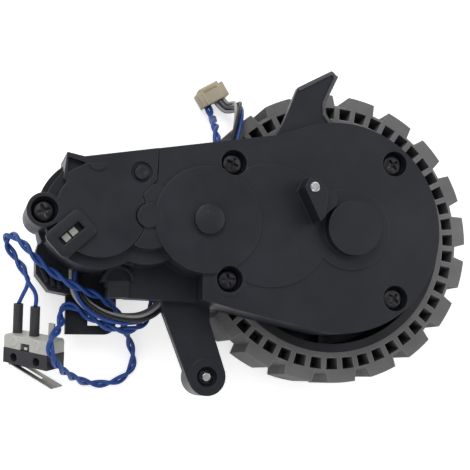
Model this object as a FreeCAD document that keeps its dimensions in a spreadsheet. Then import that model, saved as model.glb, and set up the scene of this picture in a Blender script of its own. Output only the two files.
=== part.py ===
import FreeCAD
import Part
import Sketcher
import math
import operator
import os

# Drive wheel module of a robot vacuum cleaner, lying on the outer face of its wheel.
# The origin is on the wheel's axis, in the plane that the module lies on, with +Z up.
# All lengths are in millimetres and all angles in degrees.

doc = FreeCAD.newDocument("WheelModule")
sheet = doc.addObject("Spreadsheet::Sheet", "Sizes")
UP = FreeCAD.Vector(0, 0, 1)
pieces = {}
usedCells = []


class Size:
    """A number kept together with the sheet formula that gives it."""

    def __init__(self, value, formula):
        self.value = value
        self.formula = formula

    def __add__(self, other):
        return joined(self, "+", other)

    def __radd__(self, other):
        return joined(other, "+", self)

    def __sub__(self, other):
        return joined(self, "-", other)

    def __rsub__(self, other):
        return joined(other, "-", self)

    def __mul__(self, other):
        return joined(self, "*", other)

    def __rmul__(self, other):
        return joined(other, "*", self)

    def __truediv__(self, other):
        return joined(self, "/", other)

    def __rtruediv__(self, other):
        return joined(other, "/", self)

    def __neg__(self):
        return joined(0, "-", self)


signs = {"+": operator.add, "-": operator.sub, "*": operator.mul, "/": operator.truediv}


def number(item):
    return item.value if isinstance(item, Size) else item


def formula(item):
    return item.formula if isinstance(item, Size) else repr(item)


def joined(left, sign, right):
    value = signs[sign](number(left), number(right))
    return Size(value, "(" + formula(left) + " " + sign + " " + formula(right) + ")")


def cosine(angle):
    return Size(math.cos(math.radians(number(angle))), "cos(" + formula(angle) + ")")


def sine(angle):
    return Size(math.sin(math.radians(number(angle))), "sin(" + formula(angle) + ")")


def size(alias, value):
    """Write one driving dimension into the sheet and give it back."""
    usedCells.append(alias)
    row = str(len(usedCells))
    sheet.set("A" + row, alias)
    sheet.set("B" + row, str(value))
    sheet.setAlias("B" + row, alias)
    return Size(value, "Sizes." + alias)


def spot(alias, x, y):
    """Write a named place into the sheet as two driving dimensions."""
    return size(alias + "Across", x), size(alias + "Along", y)


def polar(centre, radius, angle):
    return centre[0] + radius * cosine(angle), centre[1] + radius * sine(angle)


# Wheel
tyreRadius = size("tyreRadius", 34.0)
tyreWidth = size("tyreWidth", 15.0)
tyreBore = size("tyreBore", 27.0)
tyreEdge = size("tyreEdge", 0.6)
treadDepth = size("treadDepth", 2.3)
lugCount = size("lugCount", 20)
lugTopAngle = size("lugTopAngle", 11.1)
lugFootAngle = size("lugFootAngle", 13.6)
lugTurn = size("lugTurn", 4.0)
pocketCount = size("pocketCount", 48)
pocketInner = size("pocketInner", 28.3)
pocketOuter = size("pocketOuter", 30.9)
pocketWall = size("pocketWall", 1.25)
pocketDepth = size("pocketDepth", 7.0)
rimWall = size("rimWall", 2.0)
rimStep = size("rimStep", 0.6)
webHeight = size("webHeight", 2.0)
webThickness = size("webThickness", 2.0)
hubRadius = size("hubRadius", 7.0)
hubTop = size("hubTop", 9.4)
spokeCount = size("spokeCount", 8)
spokeWidth = size("spokeWidth", 1.4)
spokeHeight = size("spokeHeight", 3.0)
boltRadius = size("boltRadius", 1.5)
boltHeadRadius = size("boltHeadRadius", 2.9)
boltHeadHeight = size("boltHeadHeight", 1.9)
boltDepth = size("boltDepth", 0.8)
boltLength = size("boltLength", 8.0)

# Output shaft and its bushes
shaftRadius = size("shaftRadius", 2.5)
shaftFit = size("shaftFit", 0.03)
shoulderRadius = size("shoulderRadius", 3.3)
bushRadius = size("bushRadius", 4.0)
endPlay = size("endPlay", 0.3)

# Levels of the two housing shells
skirtHeight = size("skirtHeight", 16.0)
partingHeight = size("partingHeight", 25.0)
ledgeThickness = size("ledgeThickness", 2.0)
coverHeight = size("coverHeight", 29.0)
wall = size("wall", 1.6)
domeWall = size("domeWall", 1.3)
capHeight = size("capHeight", 29.4)
seam = size("seam", 0.12)

# Gear train
wheelTeeth = size("wheelTeeth", 34)
thirdPinionTeeth = size("thirdPinionTeeth", 12)
thirdTeeth = size("thirdTeeth", 35)
secondPinionTeeth = size("secondPinionTeeth", 12)
secondTeeth = size("secondTeeth", 38)
firstPinionTeeth = size("firstPinionTeeth", 14)
firstTeeth = size("firstTeeth", 39)
motorPinionTeeth = size("motorPinionTeeth", 12)
finalModule = size("finalModule", 0.8)
thirdModule = size("thirdModule", 0.6)
secondModule = size("secondModule", 0.5)
firstModule = size("firstModule", 0.4)
finalAngle = size("finalAngle", 179.1)
thirdAngle = size("thirdAngle", 176.7)
secondAngle = size("secondAngle", 178.3)
firstAngle = size("firstAngle", 177.2)
toothBacklash = size("toothBacklash", 0.09)
toothTip = size("toothTip", 0.8)
toothRoot = size("toothRoot", 1.1)
flankAngle = size("flankAngle", 20.0)
finalLevel = size("finalLevel", 19.0)
finalFace = size("finalFace", 3.4)
middleLevel = size("middleLevel", 23.2)
middleFace = size("middleFace", 2.0)
topLevel = size("topLevel", 25.8)
topFace = size("topFace", 2.2)
faceOverlap = size("faceOverlap", 0.2)
gearRoom = size("gearRoom", 0.4)
pinRadius = size("pinRadius", 1.0)
pinSeat = size("pinSeat", 0.8)
gearBore = size("gearBore", 0.03)

wheelCentre = (0 * tyreRadius, 0 * tyreRadius)
finalSpacing = finalModule * (wheelTeeth + thirdPinionTeeth) / 2
thirdSpacing = thirdModule * (thirdTeeth + secondPinionTeeth) / 2
secondSpacing = secondModule * (secondTeeth + firstPinionTeeth) / 2
firstSpacing = firstModule * (firstTeeth + motorPinionTeeth) / 2
thirdCentre = polar(wheelCentre, finalSpacing, finalAngle)
secondCentre = polar(thirdCentre, thirdSpacing, thirdAngle)
firstCentre = polar(secondCentre, secondSpacing, secondAngle)
motorCentre = polar(firstCentre, firstSpacing, firstAngle)

# Gearbox outline
endCentre = spot("end", -2.3, 0.5)
endRadius = size("endRadius", 23.6)
lowerLeft = spot("lowerLeft", -33.6, -16.1)
lowerBend = spot("lowerBend", -26.0, -18.2)
upperBend = spot("upperBend", -16.7, 20.6)
upperLeft = spot("upperLeft", -59.3, 13.8)
capSeam = spot("capSeam", -43.4, 16.35)
secondRound = size("secondRound", 11.7)
firstRound = size("firstRound", 10.2)
padRound = size("padRound", 7.1)
floorStep = size("floorStep", -24.6)
stepWall = size("stepWall", 1.2)
highFloor = size("highFloor", 22.4)
bossWall = size("bossWall", 1.4)
drumRadius = size("drumRadius", 22.8)
drumDepth = size("drumDepth", 6.5)
drumRibs = size("drumRibs", 8)

# Motor and its bucket
motorRadius = size("motorRadius", 10.0)
motorBottom = size("motorBottom", 1.4)
motorTop = size("motorTop", 20.8)
canWall = size("canWall", 0.8)
motorFit = size("motorFit", 0.4)
bucketWall = size("bucketWall", 1.4)
bucketFloor = size("bucketFloor", 1.2)
flangeRadius = size("flangeRadius", 13.1)
flangeBottom = size("flangeBottom", 15.0)
flangeTop = size("flangeTop", 22.0)
flangeStart = size("flangeStart", 122.0)
flangeEnd = size("flangeEnd", 206.0)
platePad = size("platePad", 3.0)
motorShaftRadius = size("motorShaftRadius", 1.0)
noseRadius = size("noseRadius", 3.0)
magnetRadius = size("magnetRadius", 2.4)
motorScrewSpacing = size("motorScrewSpacing", 12.0)
motorScrewAngle = size("motorScrewAngle", 75.0)
armatureRadius = size("armatureRadius", 7.0)

# Screws that hold the shells together
screwHeadRadius = size("screwHeadRadius", 2.5)
screwHeadHeight = size("screwHeadHeight", 1.6)
screwRadius = size("screwRadius", 1.25)
screwLength = size("screwLength", 6.0)
recessRadius = size("recessRadius", 2.85)
recessDepth = size("recessDepth", 2.6)
crossLength = size("crossLength", 3.0)
crossWidth = size("crossWidth", 0.7)
crossDepth = size("crossDepth", 0.9)
crossTurn = size("crossTurn", 35.0)
earScrew = spot("earScrew", -67.5, 2.1)
upperScrew = spot("upperScrew", -26.7, 13.9)
lowerScrew = spot("lowerScrew", -27.7, -11.7)
upperRightScrew = spot("upperRightScrew", 10.8, 15.3)
lowerRightScrew = spot("lowerRightScrew", 10.4, -15.2)
earWall = size("earWall", 0.85)
postWall = size("postWall", 0.6)

# Spring lug on the cover
lugPin = spot("lugPin", -10.2, 8.2)
lugTip = spot("lugTip", -8.9, 0.8)
lugShoulder = spot("lugShoulder", -4.3, 7.1)
lugHeight = size("lugHeight", 35.0)
lugPinRadius = size("lugPinRadius", 1.1)
lugPinProud = size("lugPinProud", 0.6)
discRadius = size("discRadius", 6.1)
discHeight = size("discHeight", 32.0)
ringRadius = size("ringRadius", 9.2)
stepHeight = size("stepHeight", 0.4)
thirdRound = size("thirdRound", 13.6)

# Fin over the tyre
finThickness = size("finThickness", 2.0)
finDepth = size("finDepth", 6.0)
finFoot = spot("finFoot", -14.6, 24.5)
finShoulder = spot("finShoulder", -11.4, 32.2)
finTip = spot("finTip", -3.4, 36.5)
finNose = spot("finNose", -1.8, 35.2)
finNeck = spot("finNeck", -4.9, 28.9)
finEnd = spot("finEnd", -1.0, 23.3)
finBend = size("finBend", 5.2)

# Motor cap with its window
capRadius = size("capRadius", 9.6)
capCeiling = size("capCeiling", 28.6)
earTip = spot("earTip", -63.0, 14.6)
earFoot = spot("earFoot", -63.6, 9.0)
stake = spot("stake", -47.1, 10.8)
stakeRadius = size("stakeRadius", 1.5)
crescent = spot("crescent", -56.5, 12.3)
crescentRadius = size("crescentRadius", 2.0)
window = spot("window", -61.9, -2.8)
windowTurn = size("windowTurn", 42.0)
windowLength = size("windowLength", 8.7)
windowWidth = size("windowWidth", 6.1)
windowProud = size("windowProud", 0.8)
slotLength = size("slotLength", 5.7)
slotWidth = size("slotWidth", 1.9)
boardThickness = size("boardThickness", 0.8)
contactSide = size("contactSide", 1.5)
contactHeight = size("contactHeight", 0.9)
contactStep = size("contactStep", 1.95)

# Arm, bracket, shelf and clip of the rear housing
armThickness = size("armThickness", 3.0)
armPin = spot("armPin", -30.4, -32.6)
armBoss = size("armBoss", 4.2)
armBossDepth = size("armBossDepth", 6.0)
armRootLeft = size("armRootLeft", -40.4)
armRootRight = size("armRootRight", -29.8)
armRecess = size("armRecess", 2.3)
pivotRadius = size("pivotRadius", 1.7)
pivotReach = size("pivotReach", 4.0)
pivotNeck = size("pivotNeck", 0.5)
shelfHeight = size("shelfHeight", 21.0)
shelfLeft = spot("shelfLeft", -53.3, -12.8)
shelfBend = spot("shelfBend", -48.9, -15.6)
lobeTop = size("lobeTop", 11.0)
lobeBottom = size("lobeBottom", 4.0)
lobeLeft = spot("lobeLeft", -67.8, -4.5)
lobeCorner = spot("lobeCorner", -67.8, -9.7)
lobeFoot = spot("lobeFoot", -64.9, -13.4)
bracketLeft = size("bracketLeft", -60.7)
bracketRight = size("bracketRight", -49.2)
bracketBottom = size("bracketBottom", -23.0)
bracketRoot = size("bracketRoot", -14.2)
bracketRound = size("bracketRound", 2.6)
bracketThickness = size("bracketThickness", 2.0)
bracketTop = size("bracketTop", 7.0)
bracketWindow = spot("bracketWindow", -53.4, -19.8)
bracketWindowLength = size("bracketWindowLength", 4.5)
bracketWindowWidth = size("bracketWindowWidth", 2.4)
clip = spot("clip", -50.8, -13.7)
clipLength = size("clipLength", 4.4)
clipWidth = size("clipWidth", 3.6)
clipHeight = size("clipHeight", 22.6)
strapRadius = size("strapRadius", 3.4)
strapHeight = size("strapHeight", 22.0)
catchPlace = spot("catch", -49.6, -7.4)
catchSize = size("catchSize", 3.2)
catchHeight = size("catchHeight", 24.6)
notchWidth = size("notchWidth", 10.0)
notch = spot("notch", -26.3, 20.0)
ductLeft = size("ductLeft", -27.0)
ductRight = size("ductRight", -21.4)
ductFoot = size("ductFoot", 9.0)

# Leads
pairDiameter = size("pairDiameter", 1.9)
harnessDiameter = size("harnessDiameter", 2.5)
harnessHole = spot("harnessHole", -59.3, -7.0)
harnessLevel = size("harnessLevel", 12.7)

# Small switch on its leads
switchLength = size("switchLength", 12.8)
switchHeight = size("switchHeight", 6.5)
switchDepth = size("switchDepth", 5.8)
switchSplit = size("switchSplit", 3.4)
switchHoleRadius = size("switchHoleRadius", 1.0)
switchHole = spot("switchHole", 3.3, 1.5)
switchYaw = size("switchYaw", -45.0)
switchPitch = size("switchPitch", 14.0)
switchX = size("switchAcross", -67.6)
switchY = size("switchAlong", -26.6)
terminalPitch = size("terminalPitch", 5.0)
terminalWidth = size("terminalWidth", 1.6)
terminalThickness = size("terminalThickness", 0.4)
terminalLength = size("terminalLength", 3.6)
sleeveRadius = size("sleeveRadius", 1.1)
sleeveLength = size("sleeveLength", 6.6)
leverLength = size("leverLength", 13.0)
leverWidth = size("leverWidth", 3.6)
leverThickness = size("leverThickness", 0.3)
leverRoll = size("leverRoll", 0.36)
leverAngle = size("leverAngle", 16.0)
leverPivot = spot("leverPivot", 1.0, 0.42)
plungerLength = size("plungerLength", 1.6)
plungerWidth = size("plungerWidth", 1.2)
plungerPlace = size("plungerPlace", -1.8)
plungerProud = size("plungerProud", 0.9)

# Lead connector
connector = spot("connector", -25.9, 35.8)
connectorTurn = size("connectorTurn", 30.5)
connectorLength = size("connectorLength", 7.4)
connectorWidth = size("connectorWidth", 4.4)
connectorHeight = size("connectorHeight", 3.6)
contactPitch = size("contactPitch", 1.5)
contactCount = size("contactCount", 4)
contactBore = size("contactBore", 0.9)

doc.recompute()


def bind(item, name, value):
    """Set a property, and tie it to the sheet where the value comes from there."""
    if isinstance(value, Size):
        item.setExpression(name, value.formula)
    else:
        item.setExpression(name, repr(float(value)))


def placed(item, x, y, z):
    bind(item, "Placement.Base.x", x)
    bind(item, "Placement.Base.y", y)
    bind(item, "Placement.Base.z", z)
    return item


def arcCentre(start, end, radius):
    """Centre of the shorter arc between two points; a negative radius turns clockwise."""
    middle = (start + end) * 0.5
    along = end - start
    height = math.sqrt(max(radius ** 2 - (along.Length / 2) ** 2, 0))
    left = FreeCAD.Vector(-along.y, along.x, 0).normalize()
    return middle + left * math.copysign(height, radius)


def drawArc(sketch, start, end, radius):
    centre = arcCentre(start, end, radius)
    first, last = (start, end) if radius > 0 else (end, start)
    angles = [math.atan2(point.y - centre.y, point.x - centre.x) for point in (first, last)]
    circle = Part.Circle(centre, UP, abs(radius))
    if angles[1] < angles[0]:
        angles[1] += 2 * math.pi
    return sketch.addGeometry(Part.ArcOfCircle(circle, angles[0], angles[1]))


def outlined(sketch, points):
    """Draw a closed outline; an entry with a third value ends an arc of that radius."""
    places = [FreeCAD.Vector(number(point[0]), number(point[1]), 0) for point in points]
    ends = []
    for index, point in enumerate(points):
        start, end = places[index - 1], places[index]
        if len(point) == 3:
            drawArc(sketch, start, end, number(point[2]))
            ends.append((1, 2) if number(point[2]) > 0 else (2, 1))
        else:
            sketch.addGeometry(Part.LineSegment(start, end))
            ends.append((1, 2))
    for index, point in enumerate(points):
        following = (index + 1) % len(points)
        sketch.addConstraint(
            Sketcher.Constraint("Coincident", index, ends[index][1], following, ends[following][0]))
        for kind, value in (("DistanceX", point[0]), ("DistanceY", point[1])):
            held = sketch.addConstraint(
                Sketcher.Constraint(kind, -1, 1, index, ends[index][1], float(number(value))))
            name = kind + str(index)
            sketch.renameConstraint(held, name)
            bind(sketch, "Constraints." + name, value)
        if len(point) == 3:
            radius = point[2] if number(point[2]) > 0 else -point[2]
            held = sketch.addConstraint(Sketcher.Constraint("Radius", index, float(number(radius))))
            sketch.renameConstraint(held, "Radius" + str(index))
            bind(sketch, "Constraints.Radius" + str(index), radius)
    return sketch


def drawn(name, points, level):
    sketch = doc.addObject("Sketcher::SketchObject", name)
    bind(sketch, "Placement.Base.z", level)
    return outlined(sketch, points)


def raised(name, profile, height):
    solid = doc.addObject("Part::Extrusion", name)
    solid.Base = profile
    solid.DirMode = "Custom"
    solid.Dir = UP
    solid.Solid = True
    bind(solid, "LengthFwd", height)
    return solid


def plate(name, points, bottom, top):
    return raised(name, drawn(name + "Outline", points, bottom), top - bottom)


def inset(name, points, bottom, top, thickness):
    """A solid that fills an outline drawn in by the wall's thickness."""
    edge = doc.addObject("Part::Offset2D", name + "Inset")
    edge.Source = drawn(name + "Outline", points, bottom)
    edge.Mode = "Pipe"
    edge.Join = "Intersection"
    edge.Fill = False
    bind(edge, "Value", -thickness)
    return raised(name, edge, top - bottom)


def cylinder(name, centre, radius, bottom, top):
    solid = doc.addObject("Part::Cylinder", name)
    bind(solid, "Radius", radius)
    bind(solid, "Height", top - bottom)
    return placed(solid, centre[0], centre[1], bottom)


def box(name, centre, length, width, bottom, top, turn=0):
    """A box centred on a place, turned about the vertical."""
    solid = doc.addObject("Part::Box", name)
    bind(solid, "Length", length)
    bind(solid, "Width", width)
    bind(solid, "Height", top - bottom)
    bind(solid, "Placement.Rotation.Angle", turn)
    x = centre[0] - length / 2 * cosine(turn) + width / 2 * sine(turn)
    y = centre[1] - length / 2 * sine(turn) - width / 2 * cosine(turn)
    return placed(solid, x, y, bottom)


def fused(name, solids):
    whole = doc.addObject("Part::MultiFuse", name)
    whole.Shapes = solids
    whole.Refine = True
    return whole


def shared(name, solids):
    whole = doc.addObject("Part::MultiCommon", name)
    whole.Shapes = solids
    return whole


def cutOut(name, base, tools):
    whole = doc.addObject("Part::Cut", name)
    whole.Base = base
    whole.Tool = tools[0] if len(tools) == 1 else fused(name + "Tools", tools)
    whole.Refine = True
    return whole


def grouped(name, solids):
    group = doc.addObject("Part::Compound", name)
    group.Links = solids
    return group


def node(name, item):
    item.Label = name
    pieces[name] = item
    return item


def originPlane(body, role):
    return [item for item in body.Origin.OriginFeatures if item.Role == role][0]


def bodySketch(body, name, role, level, points):
    sketch = body.newObject("Sketcher::SketchObject", name)
    sketch.AttachmentSupport = [(originPlane(body, role), "")]
    sketch.MapMode = "FlatFace"
    bind(sketch, "AttachmentOffset.Base.z", level)
    return outlined(sketch, points)


def turned(name, profile, centre=None):
    """A body of revolution about an upright axis; its profile is radius and height."""
    body = doc.addObject("PartDesign::Body", name)
    sketch = bodySketch(body, name + "Profile", "XZ_Plane", 0, profile)
    turn = body.newObject("PartDesign::Revolution", name + "Turned")
    turn.Profile = sketch
    turn.ReferenceAxis = (sketch, ["V_Axis"])
    turn.Angle = 360
    if centre:
        bind(body, "Placement.Base.x", centre[0])
        bind(body, "Placement.Base.y", centre[1])
    return body


def patterned(body, name, feature, count):
    pattern = body.newObject("PartDesign::PolarPattern", name)
    pattern.Originals = [feature]
    pattern.Axis = (originAxis(body), [""])
    pattern.Angle = 360
    bind(pattern, "Occurrences", count)
    body.Tip = pattern
    return pattern


def originAxis(body):
    return [item for item in body.Origin.OriginFeatures if item.Role == "Z_Axis"][0]


def tubeProfile(inner, outer, bottom, top):
    return [(inner, bottom), (outer, bottom), (outer, top), (inner, top)]


def buildTyre():
    root = tyreRadius - treadDepth
    profile = [
        (tyreBore, 0), (root - tyreEdge, 0), (root, tyreEdge), (root, tyreWidth - tyreEdge),
        (root - tyreEdge, tyreWidth), (tyreBore, tyreWidth)]
    body = turned("Tyre", profile)
    doc.recompute()
    topHalf, footHalf = lugTopAngle / 2, lugFootAngle / 2
    foot = root - tyreEdge
    lug = [
        polar(wheelCentre, foot, lugTurn - footHalf),
        polar(wheelCentre, tyreRadius, lugTurn - topHalf),
        polar(wheelCentre, tyreRadius, lugTurn + topHalf) + (tyreRadius,),
        polar(wheelCentre, foot, lugTurn + footHalf)]
    pad = body.newObject("PartDesign::Pad", "Lug")
    pad.Profile = bodySketch(body, "LugOutline", "XY_Plane", 0, lug)
    bind(pad, "Length", tyreWidth)
    patterned(body, "Lugs", pad, lugCount)
    doc.recompute()
    step = 360 / pocketCount
    pocket = [
        pocketCorner(pocketInner, -1, step), pocketCorner(pocketOuter, -1, step),
        pocketCorner(pocketOuter, 1, step), pocketCorner(pocketInner, 1, step)]
    hollow = body.newObject("PartDesign::Pocket", "Pocket")
    hollow.Profile = bodySketch(body, "PocketOutline", "XY_Plane", tyreWidth, pocket)
    bind(hollow, "Length", pocketDepth)
    patterned(body, "Pockets", hollow, pocketCount)
    return node("tyre", body)


def pocketCorner(radius, side, step):
    """A corner of a pocket whose walls are as thick at the top as at the foot."""
    halfWall = pocketWall / 2 / radius * 57.296
    return polar(wheelCentre, radius, side * (step / 2 - halfWall))


def buildRim():
    inner = tyreBore - rimWall
    dish = tyreBore - 2 * rimWall
    boltSeat = boltDepth + boltHeadHeight
    profile = [
        (boltHeadRadius + endPlay, 0), (hubRadius, 0), (hubRadius, webHeight),
        (dish, webHeight), (dish, rimStep), (tyreBore, rimStep), (tyreBore, tyreWidth),
        (inner, tyreWidth), (inner, webHeight + webThickness),
        (hubRadius - rimStep, webHeight + webThickness), (hubRadius - rimStep, hubTop),
        (shaftRadius, hubTop), (shaftRadius, boltSeat + rimWall), (boltRadius, boltSeat + rimWall),
        (boltRadius, boltSeat), (boltHeadRadius + endPlay, boltSeat)]
    body = turned("Rim", profile)
    doc.recompute()
    reach = inner + rimWall / 2
    start = hubRadius - rimStep * 2
    spoke = [
        (start, -spokeWidth / 2), (reach, -spokeWidth / 2),
        (reach, spokeWidth / 2), (start, spokeWidth / 2)]
    pad = body.newObject("PartDesign::Pad", "Spoke")
    pad.Profile = bodySketch(body, "SpokeOutline", "XY_Plane", webHeight + webThickness / 2, spoke)
    bind(pad, "Length", webThickness / 2 + spokeHeight)
    patterned(body, "Spokes", pad, spokeCount)
    return node("wheel_rim", body)


def crossRecess(name, centre, bottom, top):
    """The two crossed slots of a screw head."""
    return [
        box(name + "SlotAcross", centre, crossLength, crossWidth, bottom, top, crossTurn),
        box(name + "SlotAlong", centre, crossLength, crossWidth, bottom, top, crossTurn + 90)]


def screw(name, centre, seat):
    """A pan head screw that stands on its seat, with its shank below."""
    head = cylinder(name + "Head", centre, screwHeadRadius, seat, seat + screwHeadHeight)
    shank = cylinder(name + "Shank", centre, screwRadius, seat - screwLength, seat)
    solid = fused(name + "Solid", [head, shank])
    slots = crossRecess(name, centre, seat + screwHeadHeight - crossDepth, seat + screwHeadHeight)
    return cutOut(name, solid, slots)


def buildWheelBolt():
    seat = boltDepth + boltHeadHeight
    head = cylinder("BoltHead", wheelCentre, boltHeadRadius, boltDepth, seat)
    shank = cylinder("BoltShank", wheelCentre, boltRadius, seat, seat + boltLength)
    solid = fused("BoltSolid", [head, shank])
    slots = crossRecess("Bolt", wheelCentre, boltDepth, boltDepth + crossDepth)
    return node("wheel_bolt", cutOut("Bolt", solid, slots))


def shaftTop():
    return coverHeight + endPlay


def buildShaft():
    foot = boltDepth + boltHeadHeight + rimWall
    threadTop = boltDepth + boltHeadHeight + boltLength + endPlay
    gearTop = finalLevel + finalFace + endPlay
    shoulderTop = partingHeight - endPlay
    top = shaftTop()
    edge = endPlay
    profile = [
        (boltRadius, foot), (shaftRadius, foot), (shaftRadius, gearTop), (shoulderRadius, gearTop),
        (shoulderRadius, shoulderTop), (shaftRadius, shoulderTop), (shaftRadius, top - edge),
        (shaftRadius - edge, top), (0, top), (0, threadTop), (boltRadius, threadTop)]
    return node("output_shaft", turned("Shaft", profile))


def gearOutline(teeth, module, phase):
    """One closed wire of straight-flanked teeth, the first centred on the phase angle."""
    pitchRadius = module * teeth / 2
    above = toothTip.value * module
    below = toothRoot.value * module
    tip = pitchRadius + above
    root = pitchRadius - below
    slope = math.tan(math.radians(flankAngle.value))
    halfTooth = math.pi * module / 4 - toothBacklash.value / 2
    halfTip = math.degrees((halfTooth - above * slope) / tip)
    halfPitch = math.degrees(halfTooth / pitchRadius)
    halfRoot = math.degrees((halfTooth + below / 2 * slope) / root)
    points = []
    for tooth in range(teeth):
        middle = phase + tooth * 360 / teeth
        for radius, angle in ((root, -halfRoot), (pitchRadius, -halfPitch), (tip, -halfTip),
                              (tip, halfTip), (pitchRadius, halfPitch), (root, halfRoot)):
            turn = math.radians(middle + angle)
            points.append(FreeCAD.Vector(radius * math.cos(turn), radius * math.sin(turn), 0))
    return Part.makePolygon(points + points[:1])


def toothed(teeth, module, phase, bottom, top):
    wire = gearOutline(int(teeth.value), module.value, phase)
    shape = Part.Face(wire).extrude(UP * (number(top) - number(bottom)))
    shape.translate(UP * number(bottom))
    return shape


def disc(radius, bottom, top):
    return Part.makeCylinder(number(radius), number(top - bottom), UP * number(bottom))


def gapPhase(teeth, angle):
    """Phase that puts the gap between two teeth towards the gear that drives it."""
    return angle.value + 180 + 180 / teeth.value


def gearPiece(name, label, shapes, bore, centre):
    whole = shapes[0]
    for shape in shapes[1:]:
        whole = whole.fuse(shape)
    bounds = whole.BoundBox
    hole = Part.makeCylinder(bore, bounds.ZLength + 2, UP * (bounds.ZMin - 1))
    gear = doc.addObject("Part::Feature", name)
    gear.Shape = whole.cut(hole).removeSplitter()
    gear.Placement = FreeCAD.Placement(
        FreeCAD.Vector(centre[0].value, centre[1].value, 0), FreeCAD.Rotation())
    return node(label, gear)


def buildGears():
    finalTop = finalLevel + finalFace
    hub = shaftRadius + rimWall
    gearPiece("OutputGear", "output_gear", [
        toothed(wheelTeeth, finalModule, finalAngle.value, finalLevel, finalTop),
        disc(hub, skirtHeight + wall + endPlay, finalTop + endPlay)],
        shaftRadius.value, wheelCentre)
    bore = pinRadius.value + gearBore.value
    middleTop = middleLevel + middleFace
    pinionFoot = finalLevel - faceOverlap
    gearPiece("ThirdGear", "third_gear", [
        toothed(thirdPinionTeeth, finalModule, gapPhase(thirdPinionTeeth, finalAngle),
                pinionFoot, middleLevel),
        toothed(thirdTeeth, thirdModule, thirdAngle.value, middleLevel, middleTop),
        disc(pinRadius + rimWall, middleLevel, middleTop + endPlay)],
        bore, thirdCentre)
    gearPiece("SecondGear", "second_gear", [
        toothed(secondPinionTeeth, thirdModule, gapPhase(secondPinionTeeth, thirdAngle),
                middleLevel - faceOverlap, topLevel),
        toothed(secondTeeth, secondModule, secondAngle.value, topLevel, topLevel + topFace),
        disc(pinRadius + rimWall / 2, highFloor + endPlay, topLevel + topFace + faceOverlap)],
        bore, secondCentre)
    gearPiece("FirstGear", "first_gear", [
        toothed(firstTeeth, firstModule, firstAngle.value, middleLevel, middleTop),
        toothed(firstPinionTeeth, secondModule, gapPhase(firstPinionTeeth, secondAngle),
                middleTop, topLevel + topFace + faceOverlap),
        disc(pinRadius + rimWall / 2, highFloor + endPlay, middleLevel)],
        bore, firstCentre)
    gearPiece("MotorPinion", "motor_pinion", [
        toothed(motorPinionTeeth, firstModule, gapPhase(motorPinionTeeth, firstAngle),
                highFloor + gearRoom, middleTop + faceOverlap)],
        motorShaftRadius.value, motorCentre)


def coverCeiling():
    return coverHeight - wall


def domeTop():
    return topLevel + topFace + faceOverlap + gearRoom + domeWall


def pinFor(name, label, centre, bottom, top):
    edge = pinRadius / 4
    profile = [
        (0, bottom), (pinRadius - edge, bottom), (pinRadius, bottom + edge), (pinRadius, top - edge),
        (pinRadius - edge, top), (0, top)]
    return node(label, turned(name, profile, centre))


def lowFloor():
    return skirtHeight + wall


def pinSpans():
    """Bottom and top of each gear pin, from the seats that hold it."""
    return {
        "third": (lowFloor() - pinSeat, coverCeiling() + pinSeat),
        "second": (highFloor - pinSeat, domeTop() - domeWall + pinSeat),
        "first": (highFloor - pinSeat, domeTop() - domeWall + pinSeat)}


def buildPins():
    spans = pinSpans()
    pinFor("ThirdPin", "third_gear_pin", thirdCentre, *spans["third"])
    pinFor("SecondPin", "second_gear_pin", secondCentre, *spans["second"])
    pinFor("FirstPin", "first_gear_pin", firstCentre, *spans["first"])


def rearBushSpan():
    return hubTop + endPlay * 2, skirtHeight + wall


def buildBushes():
    bottom, top = rearBushSpan()
    bore = shaftRadius + shaftFit
    node("rear_bush", turned("RearBush", tubeProfile(bore, bushRadius, bottom, top)))
    node("front_bush", turned("FrontBush", tubeProfile(bore, bushRadius, partingHeight, coverHeight)))


def gearboxOutline():
    """Outline of both shells from the wheel to the motor, anticlockwise."""
    return [
        lowerLeft, lowerBend,
        polar(endCentre, endRadius, -102),
        polar(endCentre, endRadius, 4) + (endRadius,),
        polar(endCentre, endRadius, 110) + (endRadius,),
        upperBend, upperLeft,
        (upperLeft[0], motorCentre[1]),
        (firstCentre[0], firstCentre[1] - padRound / 2),
        (lowerLeft[0], secondCentre[1] - secondRound / 2)]


def screwPosts(name, bottom, top, radius):
    return [
        cylinder(name + "UpperPost", upperScrew, radius, bottom, top),
        cylinder(name + "LowerPost", lowerScrew, radius, bottom, top),
        cylinder(name + "UpperRightPost", upperRightScrew, radius, bottom, top),
        cylinder(name + "LowerRightPost", lowerRightScrew, radius, bottom, top)]


def bucketRadius():
    return motorRadius + motorFit + bucketWall


def armOutline():
    left = armPin[0] - armBoss
    right = armPin[0] + armBoss
    return [
        (armRootRight, lowerLeft[1] + rimWall), (armRootLeft, lowerLeft[1] + rimWall),
        (armRootLeft, lowerLeft[1] - armBoss / 2),
        (left, armPin[1] - armBoss / 4), (left + armBoss / 3, armPin[1] - armBoss * 0.6),
        (right - armBoss / 3, armPin[1] - armBoss * 0.6), (right, armPin[1] + armBoss / 4),
        (armRootRight, lowerLeft[1] - armBoss)]


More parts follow.
